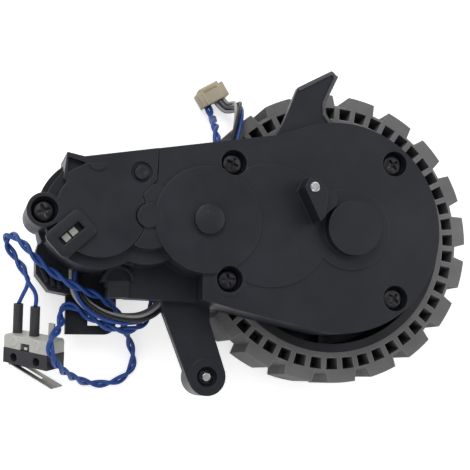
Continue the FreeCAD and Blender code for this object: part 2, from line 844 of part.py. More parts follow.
def buildRearHousing():
    outline = gearboxOutline()
    skirt = skirtHeight
    parting = partingHeight
    bucket = bucketRadius()
    solids = [
        plate("RearShell", outline, skirt, parting),
        cylinder("RearSecond", secondCentre, secondRound, skirt, parting),
        cylinder("RearFirst", firstCentre, firstRound, skirt, parting),
        cylinder("RearBucket", motorCentre, bucket, 0, parting),
        plate("RearFlange", [
            motorCentre, polar(motorCentre, flangeRadius, flangeStart),
            polar(motorCentre, flangeRadius, flangeEnd) + (flangeRadius,)], flangeBottom, flangeTop),
        cylinder("RearEar", earScrew, recessRadius + earWall, flangeBottom, parting),
        plate("RearTip", [upperLeft, earTip, earFoot, (upperLeft[0], earFoot[1])], flangeBottom, parting),
        plate("Shelf", shelfOutline(), skirt, shelfHeight),
        plate("Lobe", lobeOutline(), lobeBottom, lobeTop),
        plate("Bracket", bracketOutline(), bracketTop - bracketThickness, bracketTop),
        box("Clip", clip, clipLength, clipWidth, skirt, clipHeight),
        clipStrap(),
        cutOut("Catch", plate("CatchSolid", catchOutline(catchSize), skirt, catchHeight), [
            plate("CatchRoom", catchOutline(catchSize - wall), shelfHeight, catchHeight)]),
        plate("Arm", armOutline(), skirt - endPlay, skirt - endPlay + armThickness),
        cylinder("ArmBoss", armPin, armBoss, skirt - armBossDepth, skirt - endPlay + armThickness + endPlay)]
    whole = fused("RearSolid", solids)
    upper = [
        inset("UpperRoom", outline, highFloor, parting, wall),
        cylinder("SecondRoom", secondCentre, secondRound - domeWall, highFloor, parting),
        cylinder("FirstRoom", firstCentre, firstRound - wall, highFloor, parting),
        cylinder("PlateRoom", motorCentre, bucket - bucketWall / 2, motorTop, parting),
        cylinder("PlatePadRoom", firstCentre, platePad + seam, motorTop, highFloor)]
    right = box("RightRoom", (floorStep + 2 * endRadius, 0), endRadius * 4, endRadius * 4, lowFloor(), highFloor)
    ductMiddle = ((ductLeft + ductRight) / 2, ductFoot + endRadius / 2)
    ductWidth = ductRight - ductLeft
    lower = cutOut("LowerRoom", shared("LowerFill", [
        inset("LowerRoomFill", outline, lowFloor(), highFloor, wall), right]), [
        box("DuctKeep", ductMiddle, ductWidth + 2 * stepWall, endRadius + 2 * stepWall, skirt, highFloor)])
    leftEdge = floorStep - stepWall
    left = box("LeftRoom", (leftEdge - 2 * endRadius, 0), endRadius * 4, endRadius * 4, skirt, highFloor - stepWall)
    underFill = fused("UnderFill", [
        inset("UnderRoomFill", outline, skirt, highFloor - stepWall, wall),
        cylinder("UnderSecond", secondCentre, secondRound - domeWall, skirt, highFloor - stepWall),
        plate("UnderShelf", shelfRoom(), skirt, shelfHeight - wall)])
    duct = shared("Duct", [
        inset("DuctFill", outline, skirt, highFloor - stepWall, wall),
        box("DuctRoom", ductMiddle, ductWidth, endRadius, skirt, highFloor - stepWall)])
    under = cutOut("UnderRoom", fused("UnderLeft", [shared("UnderShare", [underFill, left]), duct]), [
        cylinder("BucketKeep", motorCentre, bucket, skirt, highFloor)])
    motorRoom = cylinder("MotorRoom", motorCentre, motorRadius + motorFit, bucketFloor, parting)
    hollow = cutOut("RearHollow", whole, upper + [lower, under, motorRoom])
    bushBottom, bushTop = rearBushSpan()
    span = pinSpans()
    drumBottom = skirt - drumDepth
    inner = drumRadius - wall
    ribs = []
    for index in range(int(drumRibs.value)):
        turn = index * 360 / drumRibs
        middle = polar(wheelCentre, (bushRadius + drumRadius) / 2, turn)
        ribs.append(box("DrumRib" + str(index), middle, drumRadius - bushRadius - bossWall, stepWall,
                        skirt - drumDepth / 2, skirt + wall / 2, turn))
    drum = cutOut("Drum", cylinder("DrumOuter", wheelCentre, drumRadius, drumBottom, lowFloor()), [
        cylinder("DrumInner", wheelCentre, inner, drumBottom, skirt)])
    added = fused("RearAdded", [
        hollow, drum,
        cylinder("BushBoss", wheelCentre, bushRadius + bossWall, bushBottom, lowFloor()),
        cylinder("ThirdBoss", thirdCentre, pinRadius + bossWall, skirt, lowFloor() + faceOverlap * 4)]
        + ribs + screwPosts("Rear", highFloor - stepWall - bossWall, parting, recessRadius + postWall))
    slots = [
        cylinder("RearBushBore", wheelCentre, bushRadius, bushBottom, bushTop),
        cylinder("RearThirdHole", thirdCentre, pinRadius, span["third"][0], parting),
        cylinder("RearSecondHole", secondCentre, pinRadius, span["second"][0], parting),
        cylinder("EarHole", earScrew, screwRadius, screwSeat() - screwLength, parting),
        cylinder("ArmRecess", armPin, armRecess, skirt + armThickness / 3, parting),
        cylinder("ArmPinHole", armPin, pivotRadius, skirt - armBossDepth, parting),
        box("BracketWindow", bracketWindow, bracketWindowLength, bracketWindowWidth, lobeBottom, lobeTop),
        box("WireNotch", notch, notchWidth, rimWall * 3, skirt, highFloor - stepWall),
        harnessHoleTool(),
        ] + [tool for tool in screwPosts("RearHole", screwSeat() - screwLength, parting, screwRadius)]
    return node("rear_housing", cutOut("RearHousing", added, slots))


def screwSeat():
    return coverHeight - recessDepth


def harnessHoleTool():
    """A round way out for the motor leads through the wall of the lobe."""
    hole = doc.addObject("Part::Cylinder", "HarnessHole")
    bind(hole, "Radius", harnessDiameter / 2)
    bind(hole, "Height", rimWall * 3)
    hole.Placement.Rotation = FreeCAD.Rotation(FreeCAD.Vector(1, 0, 0), 90)
    return placed(hole, harnessHole[0], harnessHole[1], harnessLevel)


def clipStrap():
    """The half round ridge over the clip's inner end."""
    middle = (clip[0], clip[1] + clipWidth / 2)
    ring = cylinder("StrapOuter", middle, strapRadius, skirtHeight, strapHeight)
    return cutOut("Strap", ring, [
        cylinder("StrapInner", middle, strapRadius - rimStep, shelfHeight, strapHeight),
        box("StrapHalf", (middle[0], middle[1] - strapRadius), strapRadius * 3, strapRadius * 2,
            skirtHeight, strapHeight)])


def catchOutline(reach):
    return [
        (catchPlace[0] - reach, catchPlace[1]), (catchPlace[0] + reach / 2, catchPlace[1] - reach / 2),
        (catchPlace[0] + reach * 0.7, catchPlace[1] + reach * 0.9)]


def shelfOutline():
    return [
        (shelfLeft[0], shelfLeft[1] + armBoss), shelfLeft, shelfBend, lowerLeft,
        (lowerLeft[0], secondCentre[1] - secondRound / 2),
        (firstCentre[0], firstCentre[1] - padRound / 2)]


def shelfRoom():
    return [
        (shelfLeft[0] + armBoss * 2, shelfLeft[1] + armBoss / 2),
        (shelfBend[0] + armBoss, shelfBend[1] + wall),
        (lowerLeft[0] + rimWall, lowerLeft[1] + wall),
        (lowerLeft[0] + rimWall, secondCentre[1] - secondRound / 2),
        (firstCentre[0] + rimWall, firstCentre[1] - padRound / 2)]


def lobeOutline():
    return [
        (lobeLeft[0] + rimWall, motorCentre[1]), lobeLeft, lobeCorner, lobeFoot,
        (bracketLeft, bracketRoot), (bracketRight, bracketRoot),
        (shelfBend[0], shelfLeft[1] + armBoss), motorCentre]


def bracketOutline():
    return [
        (bracketLeft, bracketRoot + rimWall), (bracketLeft, bracketBottom),
        (bracketRight - bracketRound, bracketBottom),
        (bracketRight, bracketBottom + bracketRound, bracketRound),
        (bracketRight, bracketRoot + rimWall)]


def capOutline(gap):
    """Outline of the motor cap, or of the room for it, wider by the gap."""
    radius = capRadius + gap
    side = capSeam[0] + gap
    return [
        (side, capSeam[1] + gap * 3), (upperLeft[0], upperLeft[1] + gap * 3), (earTip[0], earTip[1] + gap),
        (earFoot[0] - gap, earFoot[1]),
        polar(motorCentre, radius, 140),
        polar(motorCentre, radius, 260) + (radius,),
        polar(motorCentre, radius, 385) + (radius,),
        (side - discRadius / 16, stake[1] - stakeRadius)]


def windowBox(name, gap, bottom, top):
    return box(name, window, windowLength + 2 * gap, windowWidth + 2 * gap, bottom, top, windowTurn)


def buildMotorCap():
    ledge = partingHeight + ledgeThickness
    solids = [
        plate("CapPlate", capOutline(0), ledge, capHeight),
        cylinder("CapEar", earScrew, recessRadius + earWall, ledge, capHeight),
        windowBox("WindowPad", 0, ledge, capHeight + windowProud),
        plate("Crescent", [
            (crescent[0] - crescentRadius, crescent[1]),
            (crescent[0] + crescentRadius, crescent[1], crescentRadius * 1.04)],
            ledge, capHeight + windowProud / 2)]
    rim = rimStep
    slot = box("WindowSlot", window, slotLength, slotWidth, ledge, coverHeight * 2, windowTurn)
    tools = [
        cylinder("MagnetRoom", motorCentre, magnetRadius + gearRoom, ledge, capCeiling),
        windowBox("BoardRoom", -stepWall, ledge, capCeiling),
        slot,
        cylinder("StakeHole", stake, stakeRadius, ledge, capHeight),
        cylinder("StakeRing", stake, stakeRadius + windowProud, capHeight - rim, capHeight),
        cylinder("CapPadNotch", firstCentre, padNotch() + seam, ledge, capHeight),
        cylinder("CapPinionRoom", firstCentre, firstPinionRoom(), ledge, domeTop() - domeWall),
        cylinder("EarRecess", earScrew, recessRadius, ledge, capHeight),
        plate("TipRecess", tipRecess(), capHeight - wall, capHeight)]
    return node("motor_cap", cutOut("MotorCap", fused("CapSolid", solids), tools))


def tipRecess():
    rim = rimStep * 1.3
    return [
        (earTip[0] + rim / 3, earTip[1] - rim * 1.4), (earFoot[0] + rim, earFoot[1] + rim * 1.6),
        (upperLeft[0] + rim / 2, upperLeft[1] - rim * 1.8)]


def padNotch():
    return magnetRadius + rimStep / 3


def coverUpper():
    """Outline of the raised part of the cover, up to the seam of the motor cap."""
    outline = gearboxOutline()
    return outline[:6] + [
        capSeam, (capSeam[0], stake[1]), (firstCentre[0], firstCentre[1] + padRound / 2),
        (firstCentre[0], firstCentre[1] - padRound / 2),
        outline[9]]


def finOutline():
    return [
        (upperBend[0], endCentre[1]), (finEnd[0], endCentre[1]), finEnd, finNeck + (-finBend,),
        finNose, finTip, finShoulder, finFoot, upperBend]


def lugOutline():
    reach = lugPinRadius * 2
    return [
        (lugPin[0] - reach, lugPin[1]), lugTip,
        (lugTip[0] + lugPinRadius, lugTip[1] + lugPinRadius),
        (lugPin[0] + reach * 1.4, lugPin[1] - lugPinRadius),
        (lugPin[0] + lugPinRadius, lugPin[1] + reach),
        (lugPin[0] - lugPinRadius, lugPin[1] + reach)]


def shoulderOutline():
    reach = lugPinRadius * 2
    return [
        (lugPin[0], lugPin[1] - reach), (lugTip[0] + lugPinRadius, lugTip[1] + lugPinRadius),
        (lugShoulder[0], lugShoulder[1] - reach), lugShoulder, (lugPin[0] + lugPinRadius, lugPin[1] + reach)]


def buildFrontCover():
    outline = gearboxOutline()
    parting = partingHeight
    ledge = parting + ledgeThickness
    dome = domeTop()
    finBottom = parting + ledgeThickness - finThickness
    solids = [
        plate("CoverLedge", outline, parting, ledge),
        plate("CoverTip", [upperLeft, earTip, earFoot, (upperLeft[0], earFoot[1])], parting, ledge),
        cylinder("LedgeSecond", secondCentre, secondRound, parting, dome),
        cylinder("LedgeFirst", firstCentre, firstRound, parting, ledge),
        cylinder("LedgeMotor", motorCentre, bucketRadius(), parting, ledge),
        cylinder("LedgeEar", earScrew, recessRadius + earWall, parting, ledge),
        cylinder("CoverPad", firstCentre, padRound, ledge, capHeight),
        plate("CoverUpper", coverUpper(), ledge, coverHeight),
        cylinder("ThirdStep", thirdCentre, thirdRound, ledge, coverHeight + stepHeight),
        plate("Fin", finOutline(), finBottom, ledge)]
    room = plate("CapRoom", capOutline(seam), ledge, dome * 2)
    windowRoom = windowBox("WindowRoom", seam, ledge, dome * 2)
    base = cutOut("CoverBase", fused("CoverSolid", solids), [room, windowRoom])
    doming = fused("CoverRaised", [
        base,
        cylinder("PinDome", secondCentre, lugPinRadius * 3, dome - wall, dome + rimStep),
        cylinder("PadDisc", firstCentre, padNotch(), ledge, capHeight + rimStep),
        cylinder("AxleRing", wheelCentre, ringRadius, coverHeight - wall, coverHeight + stepHeight),
        cylinder("AxleDisc", wheelCentre, discRadius, coverHeight - wall, discHeight),
        plate("Lug", lugOutline(), coverHeight - wall, lugHeight),
        plate("LugSide", shoulderOutline(), coverHeight - wall, discHeight + stepHeight),
        cylinder("ScrewCollar", lowerScrew, recessRadius + earWall, coverHeight - wall, coverHeight + stepHeight / 2),
        cylinder("Stake", stake, stakeRadius, ledge, capHeight + rimStep / 2)])
    ceiling = coverCeiling()
    clearTop = dome - domeWall
    tools = [
        inset("CoverRoom", coverUpper(), parting, ceiling, wall),
        cylinder("CoverSecondRoom", secondCentre, secondRound - domeWall, parting, clearTop),
        cylinder("CoverFirstRoom", firstCentre, firstRound - wall, parting, middleLevel + middleFace + gearRoom),
        cylinder("CoverPinionRoom", firstCentre, firstPinionRoom(), parting, clearTop),
        cylinder("CoverMotorRoom", motorCentre, motorRadius - wall, parting, middleLevel + middleFace + gearRoom)]
    hollow = cutOut("CoverHollow", doming, tools)
    posts = screwPosts("Cover", parting, ceiling + wall / 2, recessRadius + postWall)
    inner = fused("CoverInner", [
        hollow,
        cylinder("CoverBushBoss", wheelCentre, bushRadius + bossWall, parting, ceiling + wall / 2),
        cylinder("CoverThirdBoss", thirdCentre, pinRadius + bossWall,
                 middleLevel + middleFace + endPlay * 2, ceiling + wall / 2),
        ] + posts + [cylinder("CoverEarPost", earScrew, recessRadius + earWall, parting, ledge)])
    span = pinSpans()
    holes = [
        cylinder("CoverBushBore", wheelCentre, bushRadius, parting, coverHeight),
        cylinder("CoverShaftRoom", wheelCentre, shaftRadius + gearRoom, parting, shaftTop() + gearRoom),
        cylinder("CoverThirdHole", thirdCentre, pinRadius, parting, span["third"][1]),
        cylinder("CoverSecondHole", secondCentre, pinRadius, clearTop, span["second"][1]),
        cylinder("CoverFirstHole", firstCentre, pinRadius, clearTop, span["first"][1]),
        cylinder("CoverMotorHole", motorCentre, magnetRadius + gearRoom, parting, dome),
        cylinder("LugPinHole", lugPin, lugPinRadius, coverHeight, lugHeight)]
    holes += screwPosts("CoverHole", parting, dome, screwRadius)
    holes += screwPosts("CoverRecess", coverHeight - recessDepth, dome, recessRadius)
    holes += [
        cylinder("CoverEarHole", earScrew, screwRadius, parting, ledge),
        cylinder("CoverEarRecess", earScrew, recessRadius, coverHeight - recessDepth, ledge)]
    return node("front_cover", cutOut("FrontCover", inner, holes))


def firstPinionRoom():
    return secondModule * firstPinionTeeth / 2 + secondModule + gearRoom


def buildScrews():
    places = [earScrew, upperScrew, lowerScrew, upperRightScrew, lowerRightScrew]
    screws = [screw("CoverScrew" + str(index), place, screwSeat()) for index, place in enumerate(places)]
    return node("cover_screws", grouped("CoverScrews", screws))


def buildLugPin():
    top = lugHeight + lugPinProud
    edge = lugPinRadius / 4
    profile = [
        (0, coverHeight), (lugPinRadius, coverHeight), (lugPinRadius, top - edge),
        (lugPinRadius - edge, top), (0, top)]
    return node("spring_pin", turned("SpringPin", profile, lugPin))


def buildPivotPin():
    top = skirtHeight + armThickness * 0.8
    bottom = skirtHeight - armBossDepth - pivotReach
    edge = pivotRadius / 4
    free = pivotRadius - pivotNeck
    profile = [
        (0, bottom), (free - edge, bottom), (free, bottom + edge), (free, skirtHeight - armBossDepth),
        (pivotRadius, skirtHeight - armBossDepth), (pivotRadius, top - edge * 2),
        (pivotRadius - edge * 2, top), (0, top)]
    return node("pivot_pin", turned("PivotPin", profile, armPin))


def buildMotor():
    inner = motorRadius - canWall
    can = [
        (noseRadius, motorTop), (noseRadius, motorTop - canWall), (inner, motorTop - canWall),
        (inner, motorBottom), (motorRadius, motorBottom), (motorRadius, motorTop)]
    nose = [
        (motorShaftRadius + shaftFit, motorTop - rimWall * 1.5), (noseRadius, motorTop - rimWall * 1.5),
        (noseRadius, highFloor - faceOverlap), (motorShaftRadius + shaftFit, highFloor - faceOverlap)]
    node("motor_can", turned("MotorCan", can[::-1], motorCentre))
    node("motor_bearing", turned("MotorBearing", nose, motorCentre))
    capTop = motorBottom + rimWall
    cap = [
        (motorShaftRadius + shaftFit, motorBottom + endPlay), (inner, motorBottom + endPlay),
        (inner, capTop), (noseRadius, capTop), (noseRadius, capTop + endPlay),
        (motorShaftRadius + shaftFit, capTop + endPlay)]
    node("motor_end_cap", turned("MotorEndCap", cap, motorCentre))
    shaft = [
        (0, motorBottom + endPlay * 2), (motorShaftRadius, motorBottom + endPlay * 2),
        (motorShaftRadius, capCeiling - endPlay), (0, capCeiling - endPlay)]
    node("motor_shaft", turned("MotorShaft", shaft, motorCentre))
    bottom = capTop + rimWall
    top = motorTop - rimWall * 2
    core = cylinder("ArmatureCore", motorCentre, armatureRadius, bottom + rimWall, top)
    slots = [cylinder("ArmatureBore", motorCentre, motorShaftRadius, 0, coverHeight)]
    for index in range(3):
        middle = polar(motorCentre, armatureRadius - rimWall / 2, index * 120)
        slots.append(cylinder("ArmatureSlot" + str(index), middle, rimWall, 0, coverHeight))
    node("armature", cutOut("Armature", core, slots))
    node("commutator", turned("Commutator", tubeProfile(
        motorShaftRadius, motorShaftRadius + rimWall / 2, capTop + endPlay * 2, bottom + endPlay), motorCentre))
    ring = cutOut("MagnetRing", cylinder("MagnetOuter", motorCentre, inner, bottom, top), [
        cylinder("MagnetInner", motorCentre, armatureRadius + gearRoom, bottom, top),
        box("MagnetGap", motorCentre, motorRadius * 3, motorRadius, bottom, top, 20)])
    node("motor_magnets", ring)
    node("encoder_magnet", turned("EncoderMagnet", tubeProfile(
        motorShaftRadius, magnetRadius, partingHeight + ledgeThickness,
        capCeiling - gearRoom), motorCentre))


def buildMotorPlate():
    plateRadius = bucketRadius() - bucketWall / 2 - seam
    solid = fused("MotorPlateSolid", [
        cylinder("MotorPlateDisc", motorCentre, plateRadius, motorTop, highFloor),
        cylinder("MotorPlatePad", firstCentre, platePad, motorTop, highFloor)])
    tools = [
        cylinder("MotorPlateHole", motorCentre, noseRadius, motorTop, highFloor),
        cylinder("FirstPinSeat", firstCentre, pinRadius, highFloor - pinSeat, highFloor),
        cylinder("EarScrewRoom", earScrew, screwRadius + endPlay, motorTop, highFloor)]
    screws = []
    for index, turn in enumerate((motorScrewAngle, motorScrewAngle + 180)):
        place = polar(motorCentre, motorScrewSpacing / 2, turn)
        name = "MotorScrew" + str(index)
        tools.append(cylinder(name + "Hole", place, pinRadius, motorTop, highFloor))
        tools.append(cylinder(name + "Sink", place, pinRadius * 1.8, highFloor - pinSeat, highFloor))
        solids = [
            cylinder(name + "Head", place, pinRadius * 1.8, highFloor - pinSeat, highFloor),
            cylinder(name + "Shank", place, pinRadius, motorTop, highFloor - pinSeat)]
        screws.append(fused(name, solids))
    node("motor_plate", cutOut("MotorPlate", solid, tools))
    node("motor_screws", grouped("MotorScrews", screws))


def buildSensor():
    ledge = partingHeight + ledgeThickness
    side = windowWidth - 2 * stepWall - 2 * seam
    board = box("Board", window, windowLength - 2 * stepWall - 2 * seam, side,
                ledge, ledge + boardThickness, windowTurn)
    node("sensor_board", board)
    contacts = []
    for index in range(2):
        step = (index - 0.5) * contactStep - contactSide / 8
        middle = polar(window, step, windowTurn)
        contacts.append(box("Contact" + str(index), middle, contactSide, contactSide,
                            ledge + boardThickness, ledge + boardThickness + contactHeight, windowTurn))
    node("sensor_contacts", grouped("Contacts", contacts))


def switchPlacement():
    """Where the small switch lies: turned on its edge, its lowest corner on the surface."""
    turn = FreeCAD.Rotation(FreeCAD.Vector(1, 0, 0), switchPitch.value)
    roll = FreeCAD.Rotation(FreeCAD.Vector(0, 1, 0), switchYaw.value)
    rotation = turn.multiply(roll)
    half = FreeCAD.Vector(switchLength.value / 2, switchHeight.value / 2, switchDepth.value / 2)
    lowest = 0
    for sideX in (-1, 1):
        for sideY in (-1, 1):
            for sideZ in (-1, 1):
                corner = FreeCAD.Vector(half.x * sideX, half.y * sideY, half.z * sideZ)
                lowest = min(lowest, rotation.multVec(corner).z)
    base = FreeCAD.Vector(switchX.value, switchY.value, -lowest)
    return FreeCAD.Placement(base, rotation)


def block(centre, lengths):
    """A box by its middle and its three sizes, in the switch's own axes."""
    sizes = [number(item) for item in lengths]
    middle = [number(item) for item in centre]
    corner = FreeCAD.Vector(*[middle[axis] - sizes[axis] / 2 for axis in range(3)])
    return Part.makeBox(sizes[0], sizes[1], sizes[2], corner)


def onSwitch(name, label, shape):
    item = doc.addObject("Part::Feature", name)
    item.Shape = shape
    item.Placement = switchPlacement().multiply(shape.Placement)
    return node(label, item)


def buildSwitch():
    bottom = -switchHeight / 2
    split = bottom + switchSplit
    baseMiddle = (0, (bottom + split) / 2, 0)
    coverMiddle = (0, (split + switchHeight / 2) / 2, 0)
    plungerRoom = block((plungerPlace, bottom, 0), (plungerLength + seam, rimWall * 2, plungerWidth + seam))
    base = block(baseMiddle, (switchLength, switchSplit, switchDepth)).cut(plungerRoom)
    holes = []
    for side in (-1, 1):
        centre = FreeCAD.Vector(
            side * switchHole[0].value, bottom.value + switchHole[1].value, -switchDepth.value)
        holes.append(Part.makeCylinder(switchHoleRadius.value, switchDepth.value * 2, centre, UP))
    base = base.cut(holes[0]).cut(holes[1])
    onSwitch("SwitchBase", "switch_base", base)
    upper = block(coverMiddle, (switchLength, switchHeight - switchSplit, switchDepth))
    terminals = []
    top = switchHeight / 2
    for index in range(3):
        place = (index - 1) * terminalPitch
        foot = block((place, top + terminalLength / 2 - rimWall / 2, 0),
                     (terminalWidth, terminalLength + rimWall, terminalThickness))
        upper = upper.cut(foot)
        terminals.append(foot)
    onSwitch("SwitchCover", "switch_cover", upper)
    onSwitch("SwitchTerminals", "switch_terminals", Part.makeCompound(terminals))
    sleeves = []
    for index in range(2):
        place = FreeCAD.Vector((index - 1) * terminalPitch.value, top.value, 0)
        sleeve = Part.makeCylinder(sleeveRadius.value, sleeveLength.value, place, FreeCAD.Vector(0, 1, 0))
        sleeves.append(sleeve.cut(terminals[index]))
    onSwitch("TerminalSleeves", "terminal_sleeves", Part.makeCompound(sleeves))
    plunger = block((plungerPlace, bottom - plungerProud / 2 + rimWall / 4, 0),
                    (plungerLength, plungerProud + rimWall / 2, plungerWidth))
    onSwitch("SwitchPlunger", "switch_plunger", plunger)
    onSwitch("SwitchLever", "switch_lever", leverShape(bottom))


def leverShape(bottom):
    """The spring lever, hinged at the left end of the switch and open by its angle."""
    gap = plungerProud.value
    pivot = FreeCAD.Vector(
        leverPivot[0].value - switchLength.value / 2, bottom.value - leverPivot[1].value, 0)
    blade = Part.makeBox(leverLength.value, leverThickness.value, leverWidth.value,
                         FreeCAD.Vector(0, -leverThickness.value / 2, -leverWidth.value / 2))
    slot = Part.makeBox(leverLength.value / 2, gap * 2, leverWidth.value / 3,
                        FreeCAD.Vector(leverLength.value / 6, -gap, -leverWidth.value / 6))
    blade = blade.cut(slot)
    roll = Part.makeCylinder(leverRoll.value, leverWidth.value, UP * (-leverWidth.value / 2), UP)
    blade = blade.fuse(roll)
    blade.rotate(FreeCAD.Vector(0, 0, 0), UP, -leverAngle.value)
    blade.translate(pivot)
    return blade


def buildConnector():
    top = connectorHeight
    body = box("ConnectorBlock", connector, connectorLength, connectorWidth, 0, top, connectorTurn)
    ridge = polar(connector, connectorWidth / 2 - rimStep, connectorTurn + 90)
    latch = box("ConnectorLatch", ridge, connectorLength * 0.6, rimStep * 2, top - rimStep, top + rimStep, connectorTurn)
    bores = []
    contacts = []
    for index in range(int(contactCount.value)):
        step = (index - (int(contactCount.value) - 1) / 2) * contactPitch
        middle = polar(connector, step, connectorTurn)
        bores.append(box("ContactBore" + str(index), middle, contactBore, connectorWidth * 2,
                         top / 2 - contactBore / 2, top / 2 + contactBore / 2, connectorTurn))
        contacts.append(box("PlugContact" + str(index), middle, contactBore, connectorWidth * 0.7,
                            top / 2 - contactBore / 2, top / 2 + contactBore / 2, connectorTurn))
    node("connector_housing", cutOut("ConnectorHousing", fused("ConnectorSolid", [body, latch]), bores))
    node("connector_contacts", grouped("ConnectorContacts", contacts))


pairRoute = [
    (-67.6, -17.04, 9.56), (-67.6, -13.8, 10.37), (-69.2, -10.6, 9.4), (-70.8, -7.8, 7.2),
    (-72.2, -5.4, 5.6), (-74.4, -2.6, 5.8), (-74.0, -0.4, 7.8), (-71.6, -1.9, 10.9), (-67.8, -7.0, 14.4),
    (-63.4, -10.6, 15.6), (-58.6, -13.2, 15.3), (-54.8, -14.4, 14.2), (-51.2, -16.0, 11.7),
    (-48.6, -18.8, 8.6), (-46.4, -22.6, 4.6), (-44.4, -26.6, 1.8), (-44.2, -30.6, 1.0),
    (-47.4, -33.6, 1.0), (-52.2, -34.4, 1.0), (-56.4, -33.6, 2.2), (-60.2, -32.0, 8.0),
    (-63.4, -29.8, 13.8), (-64.9, -26.8, 16.2), (-64.4, -23.8, 15.8), (-61.9, -21.4, 12.4), (-62.2, -18.4, 9.8),
    (-61.0, -16.4, 9.2), (-58.6, -17.0, 9.6), (-56.2, -18.9, 10.1), (-53.6, -20.4, 10.5), (-50.6, -21.8, 10.9),
    (-47.2, -22.4, 11.1), (-43.8, -21.2, 10.8), (-41.6, -17.6, 10.3), (-40.8, -12.8, 12.2), (-39.6, -8.6, 15.2),
    (-37.6, -4.6, 17.3), (-34.0, 1.6, 17.7), (-30.8, 8.0, 17.6), (-28.4, 14.4, 17.7),
    (-27.8, 20.8, 17.4), (-28.0, 25.0, 13.4), (-26.6, 26.8, 7.0), (-24.2, 28.6, 1.8), (-26.65, 32.75, 1.8)]
harnessRoute = [
    (-59.3, -8.6, 12.7), (-59.3, -11.8, 12.7), (-58.4, -14.6, 12.5), (-56.2, -17.0, 12.4), (-52.6, -18.9, 12.7),
    (-48.6, -19.7, 13.2), (-44.4, -19.6, 13.6), (-40.8, -17.4, 13.5), (-37.4, -12.0, 13.9), (-33.4, -4.8, 17.0),
    (-29.6, 2.6, 17.5), (-27.4, 9.6, 17.6), (-24.9, 15.8, 17.6), (-23.5, 21.6, 17.6), (-22.6, 26.6, 17.0),
    (-22.4, 29.6, 11.8), (-22.0, 29.0, 6.2), (-21.13, 29.67, 1.8), (-23.92, 34.41, 1.8)]


def leadSolid(name, label, route, diameter):
    """A lead as straight runs joined by tangent arcs, with its bend radii printed."""
    points = [FreeCAD.Vector(*point) for point in route]
    edges = []
    radii = []
    here = points[0]
    for before, corner, after in zip(points, points[1:], points[2:]):
        back, ahead = (before - corner), (after - corner)
        turn = math.pi - back.getAngle(ahead)
        shorter = min(back.Length, ahead.Length)
        reach = 0.45 * shorter
        radius = reach / math.tan(turn / 2)
        start = corner + back.normalize() * reach
        end = corner + ahead.normalize() * reach
        bisector = (back + ahead).normalize()
        middle = corner + bisector * (radius / math.cos(turn / 2) - radius)
        edges.append(Part.LineSegment(here, start).toShape())
        edges.append(Part.Arc(start, middle, end).toShape())
        radii.append(round(radius, 1))
        here = end
    edges.append(Part.LineSegment(here, points[-1]).toShape())
    path = Part.Wire(edges)
    section = Part.Wire(Part.Circle(points[0], points[1] - points[0], diameter.value / 2).toShape())
    solid = path.makePipeShell([section], True, False)
    expected = math.pi * diameter.value ** 2 / 4 * path.Length
    print(label, "length", round(path.Length, 1), "volume ratio", round(solid.Volume / expected, 4))
    print(label, "bend radii", radii)
    lead = doc.addObject("Part::Feature", name)
    lead.Shape = solid
    return node(label, lead)


def buildLeads():
    leadSolid("SwitchLead", "switch_lead", pairRoute, pairDiameter)
    leadSolid("MotorHarness", "motor_harness", harnessRoute, harnessDiameter)


buildTyre()
buildRim()
buildWheelBolt()
buildShaft()
buildGears()
buildPins()
buildBushes()
buildRearHousing()
buildFrontCover()
buildMotorCap()
buildScrews()
buildLugPin()
buildPivotPin()
buildMotor()
buildMotorPlate()
buildSensor()
buildSwitch()
buildConnector()
buildLeads()
doc.recompute()

faults = [item.Name for item in doc.Objects if {"Invalid", "Error"} & set(item.State)]
for label, item in pieces.items():
    if item.Shape.isNull() or not item.Shape.isValid() or not item.Shape.Solids:
        faults.append(label)
if faults:
    raise RuntimeError("objects that failed: " + ", ".join(faults))
os.makedirs("parts", exist_ok=True)
for label, item in pieces.items():
    item.Shape.exportStep("parts/" + label + ".step")
    print(label, len(item.Shape.Solids), "solids", round(item.Shape.Volume, 1), "mm3")
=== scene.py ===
import bmesh
import bpy
import math
from mathutils import Matrix, Vector


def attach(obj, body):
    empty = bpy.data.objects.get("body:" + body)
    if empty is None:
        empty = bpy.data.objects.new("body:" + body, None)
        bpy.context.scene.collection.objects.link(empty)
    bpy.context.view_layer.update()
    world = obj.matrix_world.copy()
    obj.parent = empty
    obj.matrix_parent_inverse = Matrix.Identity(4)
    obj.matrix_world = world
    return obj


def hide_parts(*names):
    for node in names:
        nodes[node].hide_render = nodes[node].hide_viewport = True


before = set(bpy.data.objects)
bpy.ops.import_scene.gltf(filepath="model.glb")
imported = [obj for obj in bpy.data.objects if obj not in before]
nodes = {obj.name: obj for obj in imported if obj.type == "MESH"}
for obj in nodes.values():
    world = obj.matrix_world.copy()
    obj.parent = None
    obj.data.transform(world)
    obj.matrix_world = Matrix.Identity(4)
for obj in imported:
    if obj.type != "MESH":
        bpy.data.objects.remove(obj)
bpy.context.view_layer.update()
mm = 0.001
print("frame loaded")

# Camera as in the photograph, in millimetres before scaling
camera = {
    "place": (-84.97, -31.79, 265.54),
    "right": (0.9708, 0.0, 0.2399),
    "up": (-0.0291, 0.9926, 0.1178),
    "back": (-0.2381, -0.1213, 0.9636),
    "lens": 86.7}


def addCamera():
    data = bpy.data.cameras.new("photoCamera")
    data.lens = camera["lens"]
    data.sensor_width = 36
    data.clip_start = 0.01
    shot = bpy.data.objects.new("photoCamera", data)
    bpy.context.scene.collection.objects.link(shot)
    turn = Matrix((camera["right"], camera["up"], camera["back"])).transposed().to_4x4()
    shot.matrix_world = Matrix.Translation(Vector(camera["place"]) * mm) @ turn
    bpy.context.scene.camera = shot


addCamera()
bpy.context.scene.view_settings.view_transform = "Standard"


